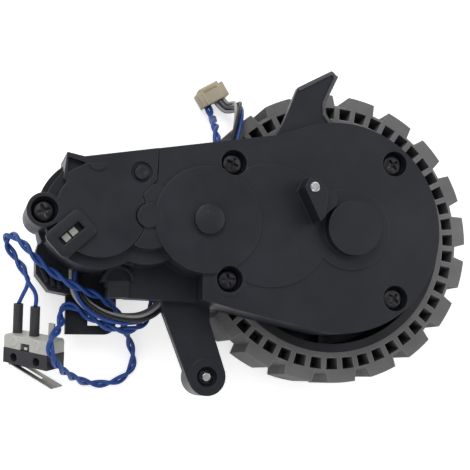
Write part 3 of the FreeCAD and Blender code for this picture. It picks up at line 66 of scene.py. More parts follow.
def spanned(tree, value, low, high, toLow=0.0, toHigh=1.0):
    span = tree.nodes.new("ShaderNodeMapRange")
    span.inputs["From Min"].default_value = low
    span.inputs["From Max"].default_value = high
    span.inputs["To Min"].default_value = toLow
    span.inputs["To Max"].default_value = toHigh
    tree.links.new(value, span.inputs["Value"])
    return span.outputs["Result"]


# Studio
studio = {
    "floor": (0.88, 0.88, 0.88, 1), "floorLift": 0.62, "floorSize": 6, "floorDrop": 0.00005, "floorRough": 0.9,
    "world": 0.34,
    "lamps": [  # place, aim, size, watts
        ((-0.35, 0.55, 0.75), (-0.02, 0.0, 0.01), 0.7, 4.6),
        ((0.6, 0.1, 0.6), (-0.02, 0.0, 0.01), 0.6, 1.7),
        ((-0.3, -0.6, 0.5), (-0.03, -0.01, 0.01), 0.7, 1.3)]}


def newMaterial(name):
    material = bpy.data.materials.new(name)
    material.use_nodes = True
    tree = material.node_tree
    return material, tree, tree.nodes["Principled BSDF"]


def addStudio():
    bpy.ops.object.select_all(action="DESELECT")
    bpy.ops.mesh.primitive_plane_add(size=studio["floorSize"], location=(0, 0, -studio["floorDrop"]))
    floor = bpy.context.object
    floor.name = "studioFloor"
    material, tree, shader = newMaterial("studioFloor")
    shader.inputs["Base Color"].default_value = studio["floor"]
    shader.inputs["Roughness"].default_value = studio["floorRough"]
    shader.inputs["Emission Color"].default_value = (1, 1, 1, 1)
    path = tree.nodes.new("ShaderNodeLightPath")
    seen = tree.nodes.new("ShaderNodeMath")
    seen.operation = "MAXIMUM"
    tree.links.new(path.outputs["Is Camera Ray"], seen.inputs[0])
    tree.links.new(path.outputs["Is Glossy Ray"], seen.inputs[1])
    lift = tree.nodes.new("ShaderNodeMath")
    lift.operation = "MULTIPLY"
    lift.inputs[1].default_value = studio["floorLift"]
    tree.links.new(seen.outputs[0], lift.inputs[0])
    tree.links.new(lift.outputs[0], shader.inputs["Emission Strength"])
    floor.data.materials.append(material)
    for index, (place, aim, size, watts) in enumerate(studio["lamps"]):
        light = bpy.data.lights.new("softLamp%d" % index, "AREA")
        light.size = size
        light.energy = watts
        lamp = bpy.data.objects.new("softLamp%d" % index, light)
        bpy.context.scene.collection.objects.link(lamp)
        lamp.location = place
        lamp.rotation_euler = (Vector(aim) - Vector(place)).to_track_quat("-Z", "Y").to_euler()
    world = bpy.data.worlds.new("studioWorld")
    bpy.context.scene.world = world
    world.use_nodes = True
    tree = world.node_tree
    sky = tree.nodes["Background"]
    sky.inputs["Color"].default_value = (1, 1, 1, 1)
    path = tree.nodes.new("ShaderNodeLightPath")
    strength = spanned(tree, path.outputs["Is Camera Ray"], 0, 1, studio["world"], 1.0)
    tree.links.new(strength, sky.inputs["Strength"])


addStudio()
print("studio ready")

# Finishes: colour, dusty colour (also lifted into the painted edge highlight), roughness, shine, grains per metre
# and their depth, edge radius, patches per metre
finishes = {
    "housing": {"base": (0.0125, 0.0135, 0.019), "pale": (0.024, 0.026, 0.034), "rough": 0.44, "shine": 0.26,
                "grain": 5200, "depth": 0.00006, "edge": 0.00035, "patch": 90},
    "cover": {"base": (0.014, 0.0155, 0.021), "pale": (0.026, 0.028, 0.036), "rough": 0.40, "shine": 0.30,
              "grain": 5200, "depth": 0.00006, "edge": 0.00035, "patch": 90},
    "rubber": {"base": (0.165, 0.162, 0.168), "pale": (0.235, 0.232, 0.235), "rough": 0.80, "shine": 0.30,
               "grain": 3800, "depth": 0.00010, "edge": 0.0004, "patch": 140},
    "rim": {"base": (0.012, 0.0125, 0.016), "pale": (0.03, 0.03, 0.034), "rough": 0.4, "shine": 0.3,
            "grain": 5200, "depth": 0.00005, "edge": 0.0003, "patch": 90},
    "blackPlastic": {"base": (0.010, 0.010, 0.012), "pale": (0.024, 0.024, 0.028), "rough": 0.4, "shine": 0.3,
                     "grain": 6000, "depth": 0.00004, "edge": 0.0002, "patch": 120},
    "switchTop": {"base": (0.53, 0.53, 0.49), "pale": (0.64, 0.64, 0.60), "rough": 0.40, "shine": 0.4,
                  "grain": 6000, "depth": 0.00004, "edge": 0.0002, "patch": 160},
    "switchBody": {"base": (0.026, 0.026, 0.034), "pale": (0.05, 0.05, 0.06), "rough": 0.38, "shine": 0.35,
                   "grain": 6000, "depth": 0.00004, "edge": 0.0002, "patch": 160},
    # Paler grey painted on the fin's rim bead as a highlight
    "rimHighlight": {"base": (0.070, 0.072, 0.078), "pale": (0.125, 0.127, 0.134), "rough": 0.5, "shine": 0.3,
                "grain": 5200, "depth": 0.00006, "edge": 0.0003, "patch": 160},
    "sleeve": {"base": (0.040, 0.040, 0.045), "pale": (0.075, 0.075, 0.08), "rough": 0.52, "shine": 0.3,
               "grain": 4000, "depth": 0.00006, "edge": 0.0002, "patch": 200},
    "nylon": {"base": (0.47, 0.41, 0.29), "pale": (0.58, 0.52, 0.40), "rough": 0.42, "shine": 0.4,
              "grain": 5200, "depth": 0.00004, "edge": 0.0002, "patch": 180},
    "acetal": {"base": (0.70, 0.68, 0.60), "pale": (0.80, 0.78, 0.72), "rough": 0.35, "shine": 0.4,
               "grain": 5200, "depth": 0.00003, "edge": 0.0002, "patch": 90},
    "board": {"base": (0.008, 0.016, 0.012), "pale": (0.014, 0.030, 0.020), "rough": 0.3, "shine": 0.5,
              "grain": 3000, "depth": 0.00003, "edge": 0.0001, "patch": 250},
    "epoxy": {"base": (0.62, 0.62, 0.58), "pale": (0.78, 0.78, 0.75), "rough": 0.3, "shine": 0.5,
              "grain": 4000, "depth": 0.00003, "edge": 0.0002, "patch": 250},
    "plunger": {"base": (0.16, 0.03, 0.02), "pale": (0.25, 0.06, 0.05), "rough": 0.4, "shine": 0.4,
                "grain": 5200, "depth": 0.00003, "edge": 0.0001, "patch": 250},
    "ferrite": {"base": (0.06, 0.06, 0.066), "pale": (0.12, 0.12, 0.125), "rough": 0.5, "shine": 0.4,
                "grain": 6000, "depth": 0.00005, "edge": 0.0002, "patch": 150},
    "blueWire": {"base": (0.013, 0.060, 0.29), "pale": (0.034, 0.110, 0.40), "rough": 0.38, "shine": 0.4,
                 "grain": 4000, "depth": 0.00003, "edge": 0.0001, "patch": 200},
    "greyWire": {"base": (0.13, 0.125, 0.145), "pale": (0.20, 0.195, 0.21), "rough": 0.42, "shine": 0.4,
                 "grain": 4000, "depth": 0.00003, "edge": 0.0001, "patch": 200},
    "paleWire": {"base": (0.40, 0.385, 0.38), "pale": (0.52, 0.51, 0.50), "rough": 0.42, "shine": 0.4,
                 "grain": 4000, "depth": 0.00003, "edge": 0.0001, "patch": 200},
    "blackWire": {"base": (0.016, 0.016, 0.019), "pale": (0.04, 0.04, 0.044), "rough": 0.42, "shine": 0.4,
                  "grain": 4000, "depth": 0.00003, "edge": 0.0001, "patch": 200}}

metals = {
    "steel": {"base": (0.52, 0.52, 0.53), "pale": (0.64, 0.64, 0.64), "rough": 0.30, "grain": 2500},
    "blackOxide": {"base": (0.030, 0.030, 0.034), "pale": (0.07, 0.07, 0.075), "rough": 0.34, "grain": 3500},
    "brightPin": {"base": (0.72, 0.72, 0.72), "pale": (0.80, 0.80, 0.80), "rough": 0.22, "grain": 2500},
    "spring": {"base": (0.24, 0.235, 0.22), "pale": (0.36, 0.35, 0.33), "rough": 0.36, "grain": 3000},
    "tin": {"base": (0.42, 0.41, 0.38), "pale": (0.54, 0.53, 0.50), "rough": 0.34, "grain": 3000},
    "brass": {"base": (0.60, 0.44, 0.20), "pale": (0.70, 0.54, 0.30), "rough": 0.28, "grain": 3000},
    "copper": {"base": (0.62, 0.32, 0.18), "pale": (0.70, 0.42, 0.26), "rough": 0.30, "grain": 3000},
    "laminate": {"base": (0.30, 0.29, 0.28), "pale": (0.40, 0.39, 0.37), "rough": 0.45, "grain": 4000}}

# What the finishes share; ranges give from low, from high, to low, to high
surface = {
    "clouds": (0.38, 0.72, 0.0, 0.55), "specks": (0.66, 0.74, 0.0, 0.35), "speckScale": 14, "smearScale": 2.3,
    # The edge range, reach and lift below paint a paler highlight along the edges
    "edgeHighlight": (0.99, 0.80, 0.0, 0.6), "highlightReach": 1.3, "highlightLift": 1.7, "bump": 0.35, "samples": 6,
    "metalClouds": 420, "metalSmear": 900, "metalEdge": 0.00015, "metalBump": 0.25, "metalDepth": 0.00002,
    "metalSamples": 4}


def noiseNode(tree, place, scale, detail, rough=0.55):
    noise = tree.nodes.new("ShaderNodeTexNoise")
    noise.inputs["Scale"].default_value = scale
    noise.inputs["Detail"].default_value = detail
    noise.inputs["Roughness"].default_value = rough
    tree.links.new(place, noise.inputs["Vector"])
    return noise.outputs["Fac"]


def mixed(tree, factor, first, second):
    mix = tree.nodes.new("ShaderNodeMix")
    mix.data_type = "RGBA"
    tree.links.new(factor, mix.inputs["Factor"])
    for socket, colour in ((mix.inputs["A"], first), (mix.inputs["B"], second)):
        if isinstance(colour, tuple):
            socket.default_value = colour + (1,)
        else:
            tree.links.new(colour, socket)
    return mix.outputs["Result"]


# Where the surface turns a corner, found by how far a rounded normal leaves the flat one: the mask of the painted
# edge highlight
def highlightedEdges(tree, reach):
    rounded = tree.nodes.new("ShaderNodeBevel")
    rounded.samples = surface["samples"]
    rounded.inputs["Radius"].default_value = reach
    flat = tree.nodes.new("ShaderNodeNewGeometry")
    lean = tree.nodes.new("ShaderNodeVectorMath")
    lean.operation = "DOT_PRODUCT"
    tree.links.new(rounded.outputs["Normal"], lean.inputs[0])
    tree.links.new(flat.outputs["Normal"], lean.inputs[1])
    return spanned(tree, lean.outputs["Value"], *surface["edgeHighlight"])


# Fine grain over softly rounded corners
def grainInto(tree, shader, height, radius, samples, strength, depth):
    corner = tree.nodes.new("ShaderNodeBevel")
    corner.samples = samples
    corner.inputs["Radius"].default_value = radius
    bump = tree.nodes.new("ShaderNodeBump")
    bump.inputs["Strength"].default_value = strength
    bump.inputs["Distance"].default_value = depth
    tree.links.new(height, bump.inputs["Height"])
    tree.links.new(corner.outputs["Normal"], bump.inputs["Normal"])
    tree.links.new(bump.outputs["Normal"], shader.inputs["Normal"])


# Moulded plastic or rubber: fine grain, a cloudy tone, dust, a painted highlight along the edges and soft corners
def mouldedPlastic(name):
    finish = finishes[name]
    material, tree, shader = newMaterial(name)
    shader.inputs["Specular IOR Level"].default_value = finish["shine"]
    place = tree.nodes.new("ShaderNodeTexCoord").outputs["Object"]
    clouds = spanned(tree, noiseNode(tree, place, finish["patch"], 5), *surface["clouds"])
    specks = spanned(tree, noiseNode(tree, place, finish["patch"] * surface["speckScale"], 3), *surface["specks"])
    dust = tree.nodes.new("ShaderNodeMath")
    dust.operation = "ADD"
    tree.links.new(clouds, dust.inputs[0])
    tree.links.new(specks, dust.inputs[1])
    # Painted highlight: corners are painted paler, standing in for light caught along the edges
    edgeHighlight = highlightedEdges(tree, finish["edge"] * surface["highlightReach"])
    tone = mixed(tree, dust.outputs[0], finish["base"], finish["pale"])
    highlightTone = tuple(min(1.0, part * surface["highlightLift"]) for part in finish["pale"])
    tree.links.new(mixed(tree, edgeHighlight, tone, highlightTone), shader.inputs["Base Color"])
    smear = spanned(tree, noiseNode(tree, place, finish["patch"] * surface["smearScale"], 4), 0.3, 0.7,
                    finish["rough"] - 0.07, finish["rough"] + 0.09)
    tree.links.new(smear, shader.inputs["Roughness"])
    grainInto(tree, shader, noiseNode(tree, place, finish["grain"], 2), finish["edge"], surface["samples"],
              surface["bump"], finish["depth"])
    return material


# Metal: a cloudy tone, fine grain and soft corners
def workedMetal(name):
    finish = metals[name]
    material, tree, shader = newMaterial(name)
    place = tree.nodes.new("ShaderNodeTexCoord").outputs["Object"]
    clouds = spanned(tree, noiseNode(tree, place, surface["metalClouds"], 4), 0.35, 0.7)
    tree.links.new(mixed(tree, clouds, finish["base"], finish["pale"]), shader.inputs["Base Color"])
    shader.inputs["Metallic"].default_value = 1.0
    smear = spanned(tree, noiseNode(tree, place, surface["metalSmear"], 4), 0.3, 0.7,
                    finish["rough"] - 0.06, finish["rough"] + 0.1)
    tree.links.new(smear, shader.inputs["Roughness"])
    grainInto(tree, shader, noiseNode(tree, place, finish["grain"], 3), surface["metalEdge"],
              surface["metalSamples"], surface["metalBump"], surface["metalDepth"])
    return material


materials = {name: mouldedPlastic(name) for name in finishes}
materials.update({name: workedMetal(name) for name in metals})

nodeFinish = {
    "tyre": "rubber", "wheel_rim": "rim", "wheel_bolt": "steel", "output_shaft": "steel",
    "output_gear": "acetal", "third_gear": "acetal", "second_gear": "acetal", "first_gear": "acetal",
    "motor_pinion": "brass", "third_gear_pin": "steel", "second_gear_pin": "steel", "first_gear_pin": "steel",
    "rear_bush": "brass", "front_bush": "brass", "rear_housing": "housing", "front_cover": "cover",
    "motor_cap": "cover", "cover_screws": "blackOxide", "spring_pin": "brightPin", "pivot_pin": "brightPin",
    "motor_can": "steel", "motor_bearing": "brass", "motor_end_cap": "blackPlastic", "motor_shaft": "steel",
    "armature": "laminate", "commutator": "copper", "motor_magnets": "ferrite", "encoder_magnet": "ferrite",
    "motor_plate": "blackPlastic", "motor_screws": "blackOxide", "sensor_board": "board", "sensor_contacts": "epoxy",
    "switch_base": "switchBody", "switch_cover": "switchTop", "switch_terminals": "tin",
    "terminal_sleeves": "sleeve", "switch_plunger": "plunger", "switch_lever": "spring",
    "connector_housing": "nylon", "connector_contacts": "tin"}
for node, finish in nodeFinish.items():
    nodes[node].data.materials.clear()
    nodes[node].data.materials.append(materials[finish])
print("finishes ready")

# Leads: the routes' points in millimetres, and what runs along them
pairLead = {
    "route": [
        (-67.6, -17.04, 9.56), (-67.6, -13.8, 10.37), (-69.2, -10.6, 9.4), (-70.8, -7.8, 7.2), (-72.2, -5.4, 5.6),
        (-74.4, -2.6, 5.8), (-74.0, -0.4, 7.8), (-71.6, -1.9, 10.9), (-67.8, -7.0, 14.4), (-63.4, -10.6, 15.6),
        (-58.6, -13.2, 15.3), (-54.8, -14.4, 14.2), (-51.2, -16.0, 11.7), (-48.6, -18.8, 8.6), (-46.4, -22.6, 4.6),
        (-44.4, -26.6, 1.8), (-44.2, -30.6, 1.0), (-47.4, -33.6, 1.0), (-52.2, -34.4, 1.0), (-56.4, -33.6, 2.2),
        (-60.2, -32.0, 8.0), (-63.4, -29.8, 13.8), (-64.9, -26.8, 16.2), (-64.4, -23.8, 15.8), (-61.9, -21.4, 12.4),
        (-62.2, -18.4, 9.8), (-61.0, -16.4, 9.2), (-58.6, -17.0, 9.6), (-56.2, -18.9, 10.1), (-53.6, -20.4, 10.5),
        (-50.6, -21.8, 10.9), (-47.2, -22.4, 11.1), (-43.8, -21.2, 10.8), (-41.6, -17.6, 10.3), (-40.8, -12.8, 12.2),
        (-39.6, -8.6, 15.2), (-37.6, -4.6, 17.3), (-34.0, 1.6, 17.7), (-30.8, 8.0, 17.6), (-28.4, 14.4, 17.7),
        (-27.8, 20.8, 17.4), (-27.6, 25.0, 14.4), (-27.0, 27.8, 9.0), (-26.0, 29.2, 4.4), (-25.9, 30.6, 2.2),
        (-26.65, 32.75, 1.8)],
    "wires": ["blueWire", "blueWire"], "wireRadius": 0.47, "ringRadius": 0.5, "twist": 9.5, "sway": 0.0,
    "ownEnd": (-71.13, -16.19, 6.12), "parting": 10.0}
harnessLead = {
    "route": [
        (-59.3, -8.6, 12.7), (-59.3, -11.8, 12.7), (-58.4, -14.6, 12.5), (-56.2, -17.0, 12.4), (-52.6, -18.9, 12.7),
        (-48.6, -19.7, 13.2), (-44.4, -19.6, 13.6), (-40.8, -17.4, 13.5), (-37.4, -12.0, 13.9), (-33.4, -4.8, 17.0),
        (-29.6, 2.6, 17.5), (-27.4, 9.6, 17.6), (-24.9, 15.8, 17.6), (-23.5, 21.6, 17.6), (-22.6, 26.6, 17.2),
        (-21.8, 29.8, 14.2), (-21.2, 31.4, 9.6), (-21.3, 32.0, 4.8), (-22.2, 32.4, 2.2), (-23.92, 34.41, 1.8)],
    "wires": ["greyWire", "paleWire", "blackWire", "blueWire", "paleWire"],
    "wireRadius": 0.44, "ringRadius": 0.86, "twist": 64.0, "sway": 0.3, "ownEnd": None, "parting": 1.0}
weave = {"step": 0.0006, "swayLength": 7.5, "swayShift": 2.1}


# Points read from the smooth line through a lead's route
def centreLine(name, route):
    data = bpy.data.curves.new(name + "Line", "CURVE")
    data.dimensions = "3D"
    data.resolution_u = 14
    spline = data.splines.new("NURBS")
    spline.points.add(len(route) - 1)
    for point, place in zip(spline.points, route):
        point.co = (place[0] * mm, place[1] * mm, place[2] * mm, 1)
    spline.order_u = 3
    spline.use_endpoint_u = True
    line = bpy.data.objects.new(name + "Line", data)
    bpy.context.scene.collection.objects.link(line)
    bpy.context.view_layer.update()
    mesh = bpy.data.meshes.new_from_object(line)
    points = [vertex.co.copy() for vertex in mesh.vertices]
    bpy.data.objects.remove(line)
    bpy.data.meshes.remove(mesh)
    return points


# The same line with its points a fixed step apart
def evenly(points, step):
    spaced = [points[0]]
    carried = 0.0
    for start, end in zip(points, points[1:]):
        length = (end - start).length
        while carried + length >= step:
            start = start.lerp(end, (step - carried) / length)
            spaced.append(start)
            length = (end - start).length
            carried = 0.0
        carried += length
    if (spaced[-1] - points[-1]).length > step * 0.3:
        spaced.append(points[-1])
    else:
        spaced[-1] = points[-1]
    return spaced


# Two side directions at each point that turn as little as they can
def travelling(points):
    frames = []
    side = None
    for index, point in enumerate(points):
        before, after = points[max(index - 1, 0)], points[min(index + 1, len(points) - 1)]
        along = (after - before).normalized()
        if side is None:
            side = along.orthogonal().normalized()
        side = (side - along * side.dot(along)).normalized()
        frames.append((side, along.cross(side)))
    return frames


def tubeInto(mesh, points, radius, slot, sides=10):
    rings = []
    for point, (side, across) in zip(points, travelling(points)):
        ring = []
        for step in range(sides):
            turn = 2 * math.pi * step / sides
            ring.append(mesh.verts.new(point + (side * math.cos(turn) + across * math.sin(turn)) * radius))
        rings.append(ring)
    for first, second in zip(rings, rings[1:]):
        for step in range(sides):
            face = mesh.faces.new((first[step], first[(step + 1) % sides],
                                   second[(step + 1) % sides], second[step]))
            face.smooth = True
            face.material_index = slot
    for ring, turned in ((rings[0], True), (rings[-1], False)):
        cap = mesh.faces.new(ring[::-1] if turned else ring)
        cap.material_index = slot


def meshPiece(name, mesh, used):
    data = bpy.data.meshes.new(name)
    bmesh.ops.recalc_face_normals(mesh, faces=mesh.faces)
    mesh.to_mesh(data)
    mesh.free()
    for finish in used:
        data.materials.append(materials[finish])
    piece = bpy.data.objects.new(name, data)
    bpy.context.scene.collection.objects.link(piece)
    return piece


# Wires wound round one smooth centre line; near its start the last wire leaves it for its own end
def bundle(name, lead):
    path = evenly(centreLine(name, lead["route"]), weave["step"])
    frames = travelling(path)
    mesh = bmesh.new()
    used = sorted(set(lead["wires"]))
    count = len(lead["wires"])
    branch = []
    for index, finish in enumerate(lead["wires"]):
        leaves = lead["ownEnd"] is not None and index == count - 1
        wire = []
        run = 0.0
        for step, point in enumerate(path):
            if step:
                run += (point - path[step - 1]).length
            turn = 2 * math.pi * (index / count + run / (lead["twist"] * mm))
            side, across = frames[step]
            reach = lead["ringRadius"] * mm
            reach *= 1 + lead["sway"] * math.sin(run / (weave["swayLength"] * mm) + index * weave["swayShift"])
            left = max(0.0, 1 - run / (lead["parting"] * mm))
            if lead["ownEnd"] is not None:
                reach *= 1 - left ** 3
            spot = point + (side * math.cos(turn) + across * math.sin(turn)) * reach
            if leaves and left > 0:
                branch.append(spot + (Vector(lead["ownEnd"]) * mm - path[0]) * left ** 1.5)
            else:
                wire.append(spot)
        if leaves:
            branch.append(wire[0])
        tubeInto(mesh, wire, lead["wireRadius"] * mm, used.index(finish))
    piece = meshPiece(name, mesh, used)
    if not branch:
        return piece, path, None
    mesh = bmesh.new()
    tubeInto(mesh, branch, lead["wireRadius"] * mm, 0)
    return piece, path, meshPiece(name + "_branch", mesh, lead["wires"][-1:])


pair, pairPath, pairBranch = bundle("blue_pair", pairLead)
for part in (pair, pairBranch):
    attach(part, "module")
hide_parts("switch_lead")
harness, harnessPath = bundle("motor_wires", harnessLead)[:2]
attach(harness, "module")
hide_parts("motor_harness")
print("leads ready")


# Modelling steps; pieces are shaped in millimetres and scaled when they are placed
smoothAngle = math.radians(42)


def alone(piece):
    bpy.ops.object.select_all(action="DESELECT")
    piece.select_set(True)
    bpy.context.view_layer.objects.active = piece


def newBlock(name, middle, size, turn=0.0):
    bpy.ops.object.select_all(action="DESELECT")
    bpy.ops.mesh.primitive_cube_add(size=1, location=middle, rotation=(0, 0, math.radians(turn)))
    block = bpy.context.object
    block.name = name
    block.scale = size
    bpy.ops.object.transform_apply(location=True, rotation=True, scale=True)
    return block


def newRound(name, middle, radius, height, sides=40):
    bpy.ops.object.select_all(action="DESELECT")
    bpy.ops.mesh.primitive_cylinder_add(vertices=sides, radius=radius, depth=height, location=middle)
    piece = bpy.context.object
    piece.name = name
    bpy.ops.object.transform_apply(location=True, rotation=True, scale=True)
    return piece


# Leaves the piece in edit mode with the faces or edges chosen that pass the test
def picked(piece, kind, test):
    alone(piece)
    bpy.ops.object.mode_set(mode="EDIT")
    bpy.ops.mesh.select_mode(type=kind)
    bpy.ops.mesh.select_all(action="DESELECT")
    mesh = bmesh.from_edit_mesh(piece.data)
    for element in mesh.faces if kind == "FACE" else mesh.edges:
        if test(element):
            element.select_set(True)
    bmesh.update_edit_mesh(piece.data)


def pickFaces(piece, test):
    picked(piece, "FACE", test)


def pickEdges(piece, test):
    picked(piece, "EDGE", test)


def facesUp(face):
    return face.normal.z > 0.9


def upright(edge):
    return abs((edge.verts[0].co - edge.verts[1].co).normalized().z) > 0.99


def leaveEdit():
    bpy.ops.object.mode_set(mode="OBJECT")


def carved(piece, cutters):
    for cutter in cutters:
        cut = piece.modifiers.new("cut", "BOOLEAN")
        cut.operation = "DIFFERENCE"
        cut.solver = "EXACT"
        cut.object = cutter
        alone(piece)
        bpy.ops.object.modifier_apply(modifier=cut.name)
        bpy.data.objects.remove(cutter)


def softened(piece, width, segments=3, angle=35):
    soft = piece.modifiers.new("soft", "BEVEL")
    soft.width = width
    soft.segments = segments
    soft.limit_method = "ANGLE"
    soft.angle_limit = math.radians(angle)
    soft.use_clamp_overlap = True
    alone(piece)
    bpy.ops.object.modifier_apply(modifier=soft.name)
    bpy.ops.object.shade_smooth_by_angle(angle=smoothAngle)


def joined(name, pieces):
    bpy.ops.object.select_all(action="DESELECT")
    for piece in pieces:
        piece.select_set(True)
    bpy.context.view_layer.objects.active = pieces[0]
    if len(pieces) > 1:
        bpy.ops.object.join()
    pieces[0].name = name
    return pieces[0]


def placed(piece, spot=(0, 0, 0), turn=None):
    alone(piece)
    rotation = turn.to_4x4() if turn else Matrix.Identity(4)
    piece.matrix_world = Matrix.Translation(Vector(spot) * mm) @ rotation @ Matrix.Scale(mm, 4)
    bpy.ops.object.transform_apply(location=True, rotation=True, scale=True)


def dressed(piece, finish, body="module", standsFor=()):
    if not piece.data.materials:
        piece.data.materials.append(materials[finish])
    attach(piece, body)
    if standsFor:
        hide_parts(*standsFor)


# Moulded pieces with truly rounded edges, shaped from the frame's own solids
roundedNodes = {
    "front_cover": ("moulded_cover", "cover", "housing", "module", 0.22),
    "motor_cap": ("moulded_cap", "cover", "housing", "module", 0.18),
    "rear_housing": ("moulded_housing", "housing", "housing", "module", 0.2),
    "tyre": ("tread_tyre", "rubber", "tyre", "wheel", 0.42)}
rounding = {"merge": 0.000005, "flat": 1.5, "segments": 2, "angle": 38, "weight": 100}


def makeRounded(node):
    name, finish, slotName, body, width = roundedNodes[node]
    piece = nodes[node].copy()
    piece.data = nodes[node].data.copy()
    for key in list(piece.keys()):
        del piece[key]
    piece.name = name
    piece.data.materials.clear()
    bpy.context.scene.collection.objects.link(piece)
    alone(piece)
    bpy.ops.object.mode_set(mode="EDIT")
    bpy.ops.mesh.select_all(action="SELECT")
    bpy.ops.mesh.remove_doubles(threshold=rounding["merge"])
    bpy.ops.mesh.dissolve_limited(angle_limit=math.radians(rounding["flat"]))
    leaveEdit()
    softened(piece, width * mm, rounding["segments"], rounding["angle"])
    steady = piece.modifiers.new("steady", "WEIGHTED_NORMAL")
    steady.weight = rounding["weight"]
    steady.keep_sharp = True
    bpy.ops.object.modifier_apply(modifier=steady.name)
    dressed(piece, finish, body, [node])


for node in roundedNodes:
    makeRounded(node)
print("rounded pieces ready")

# Black pan head screws, low in their recesses
coverScrew = {
    "places": [(-67.5, 2.1), (-26.7, 13.9), (-27.7, -11.7), (10.8, 15.3), (10.4, -15.2)],
    "turns": [20, 62, 8, 35, 50], "seat": 26.4, "head": 2.35, "height": 0.95, "dome": 0.3,
    "domeSteps": [(0.22, 0.7), (0.38, 0.3)],  # inset by the head, rise by the dome
    "shank": 1.2, "length": 6.0, "cross": (2.7, 0.6, 0.85), "crossRise": 0.1, "soft": 0.08}


def makeScrews():
    head, height = coverScrew["head"], coverScrew["height"]
    master = newRound("screwMaster", (0, 0, height / 2), head, height)
    pickFaces(master, facesUp)
    for inset, rise in coverScrew["domeSteps"]:
        bpy.ops.mesh.inset(thickness=head * inset)
        bpy.ops.transform.translate(value=(0, 0, coverScrew["dome"] * rise))
    leaveEdit()
    pickFaces(master, lambda face: face.normal.z < -0.9)
    bpy.ops.mesh.inset(thickness=head - coverScrew["shank"])
    bpy.ops.mesh.extrude_region_move(TRANSFORM_OT_translate={"value": (0, 0, -coverScrew["length"])})
    leaveEdit()
    along, across, deep = coverScrew["cross"]
    level = height + coverScrew["dome"] - deep / 2 + coverScrew["crossRise"]
    carved(master, [newBlock("slotCut", (0, 0, level), (along, across, deep)),
                    newBlock("slotCut", (0, 0, level), (across, along, deep))])
    softened(master, coverScrew["soft"], 2)
    screws = []
    for place, turn in zip(coverScrew["places"], coverScrew["turns"]):
        screw = master.copy()
        screw.data = master.data.copy()
        bpy.context.scene.collection.objects.link(screw)
        alone(screw)
        screw.rotation_euler = (0, 0, math.radians(turn))
        screw.location = (place[0], place[1], coverScrew["seat"])
        bpy.ops.object.transform_apply(location=True, rotation=True, scale=True)
        screws.append(screw)
    bpy.data.objects.remove(master)
    piece = joined("black_screws", screws)
    placed(piece)
    dressed(piece, "blackOxide", standsFor=["cover_screws"])


makeScrews()
print("screws ready")

# The small switch: its own axes as in the CAD, with the pale cover's details
smallSwitch = {
    "base": (-67.6, -26.6, 7.167), "yaw": -45.0, "pitch": 14.0,
    "coverMiddle": (0, 1.7, 0), "coverSize": (12.8, 3.1, 5.8),
    "bossPlaces": (-3.3, 3.3), "bossLevel": 1.95, "bossRadius": 1.05, "bossHeight": 0.28,
    "bossInset": 0.3, "bossSink": 0.16, "bossSoft": 0.07, "corner": 0.7, "soft": 0.16, "smallSoft": 0.1,
    "catchSize": (2.6, 1.7), "catchDepth": 0.7, "catchAside": -0.2, "catchDrop": 0.1,
    "tongueRise": 0.42, "tongueBack": 0.45, "tongueShare": (0.86, 0.78), "tongueThick": 0.5,
    "toothAside": 0.1, "toothRise": 0.34, "toothBack": 0.12, "toothSize": (0.8, 0.6, 0.3)}


def switchTurn():
    return (Matrix.Rotation(math.radians(smallSwitch["pitch"]), 3, "X")
            @ Matrix.Rotation(math.radians(smallSwitch["yaw"]), 3, "Y"))


def makeSwitchCover():
    middle, size = smallSwitch["coverMiddle"], smallSwitch["coverSize"]
    front = size[2] / 2
    cover = newBlock("switchCover", middle, size)
    pickEdges(cover, lambda edge: upright(edge) and edge.verts[0].co.y > middle[1])
    bpy.ops.mesh.bevel(offset=smallSwitch["corner"], segments=4)
    leaveEdit()
    low = middle[1] - size[1] / 2
    wide, tall = smallSwitch["catchSize"]
    aside = smallSwitch["catchAside"]
    carved(cover, [newBlock("catchCut", (aside, low + tall / 2 - smallSwitch["catchDrop"], front),
                            (wide, tall, smallSwitch["catchDepth"] * 2))])
    softened(cover, smallSwitch["soft"], 3)
    bosses = []
    for place in smallSwitch["bossPlaces"]:
        boss = newRound("switchBoss", (place, smallSwitch["bossLevel"], front), smallSwitch["bossRadius"],
                        smallSwitch["bossHeight"] * 2, 32)
        pickFaces(boss, facesUp)
        bpy.ops.mesh.inset(thickness=smallSwitch["bossInset"])
        bpy.ops.transform.translate(value=(0, 0, -smallSwitch["bossSink"]))
        leaveEdit()
        softened(boss, smallSwitch["bossSoft"], 2)
        bosses.append(boss)
    share = smallSwitch["tongueShare"]
    tongue = newBlock("switchTongue",
                      (aside, low + tall * smallSwitch["tongueRise"], front - smallSwitch["tongueBack"]),
                      (wide * share[0], tall * share[1], smallSwitch["tongueThick"]))
    softened(tongue, smallSwitch["smallSoft"], 2)
    tongue.data.materials.append(materials["switchBody"])
    tooth = newBlock("switchTooth",
                     (smallSwitch["toothAside"], low + tall * smallSwitch["toothRise"],
                      front - smallSwitch["toothBack"]), smallSwitch["toothSize"])
    softened(tooth, smallSwitch["smallSoft"], 2)
    for part in [cover, tooth] + bosses:
        part.data.materials.append(materials["switchTop"])
    piece = joined("switch_top", [cover] + bosses + [tongue, tooth])
    placed(piece, smallSwitch["base"], switchTurn())
    dressed(piece, "switchTop", standsFor=["switch_cover"])
    return piece


switchTopPiece = makeSwitchCover()
print("switch ready")

# Lead connector: a body between two end walls, with grooves and a latch
plug = {
    "middle": (-25.9, 35.8), "turn": 30.5, "length": 7.4, "width": 4.4, "height": 3.6,
    "endWall": 1.15, "endShift": -0.08, "endWidth": 0.84, "endHeight": 0.94, "groove": 0.28, "ribRise": 0.06,
    "bore": 0.95, "pitch": 1.5, "count": 4, "soft": 0.14, "latchIn": 0.55, "latchShare": 0.5,
    "latchDepth": 0.9, "latchHeight": 0.5, "latchLean": -0.2, "latchSoft": 0.1}


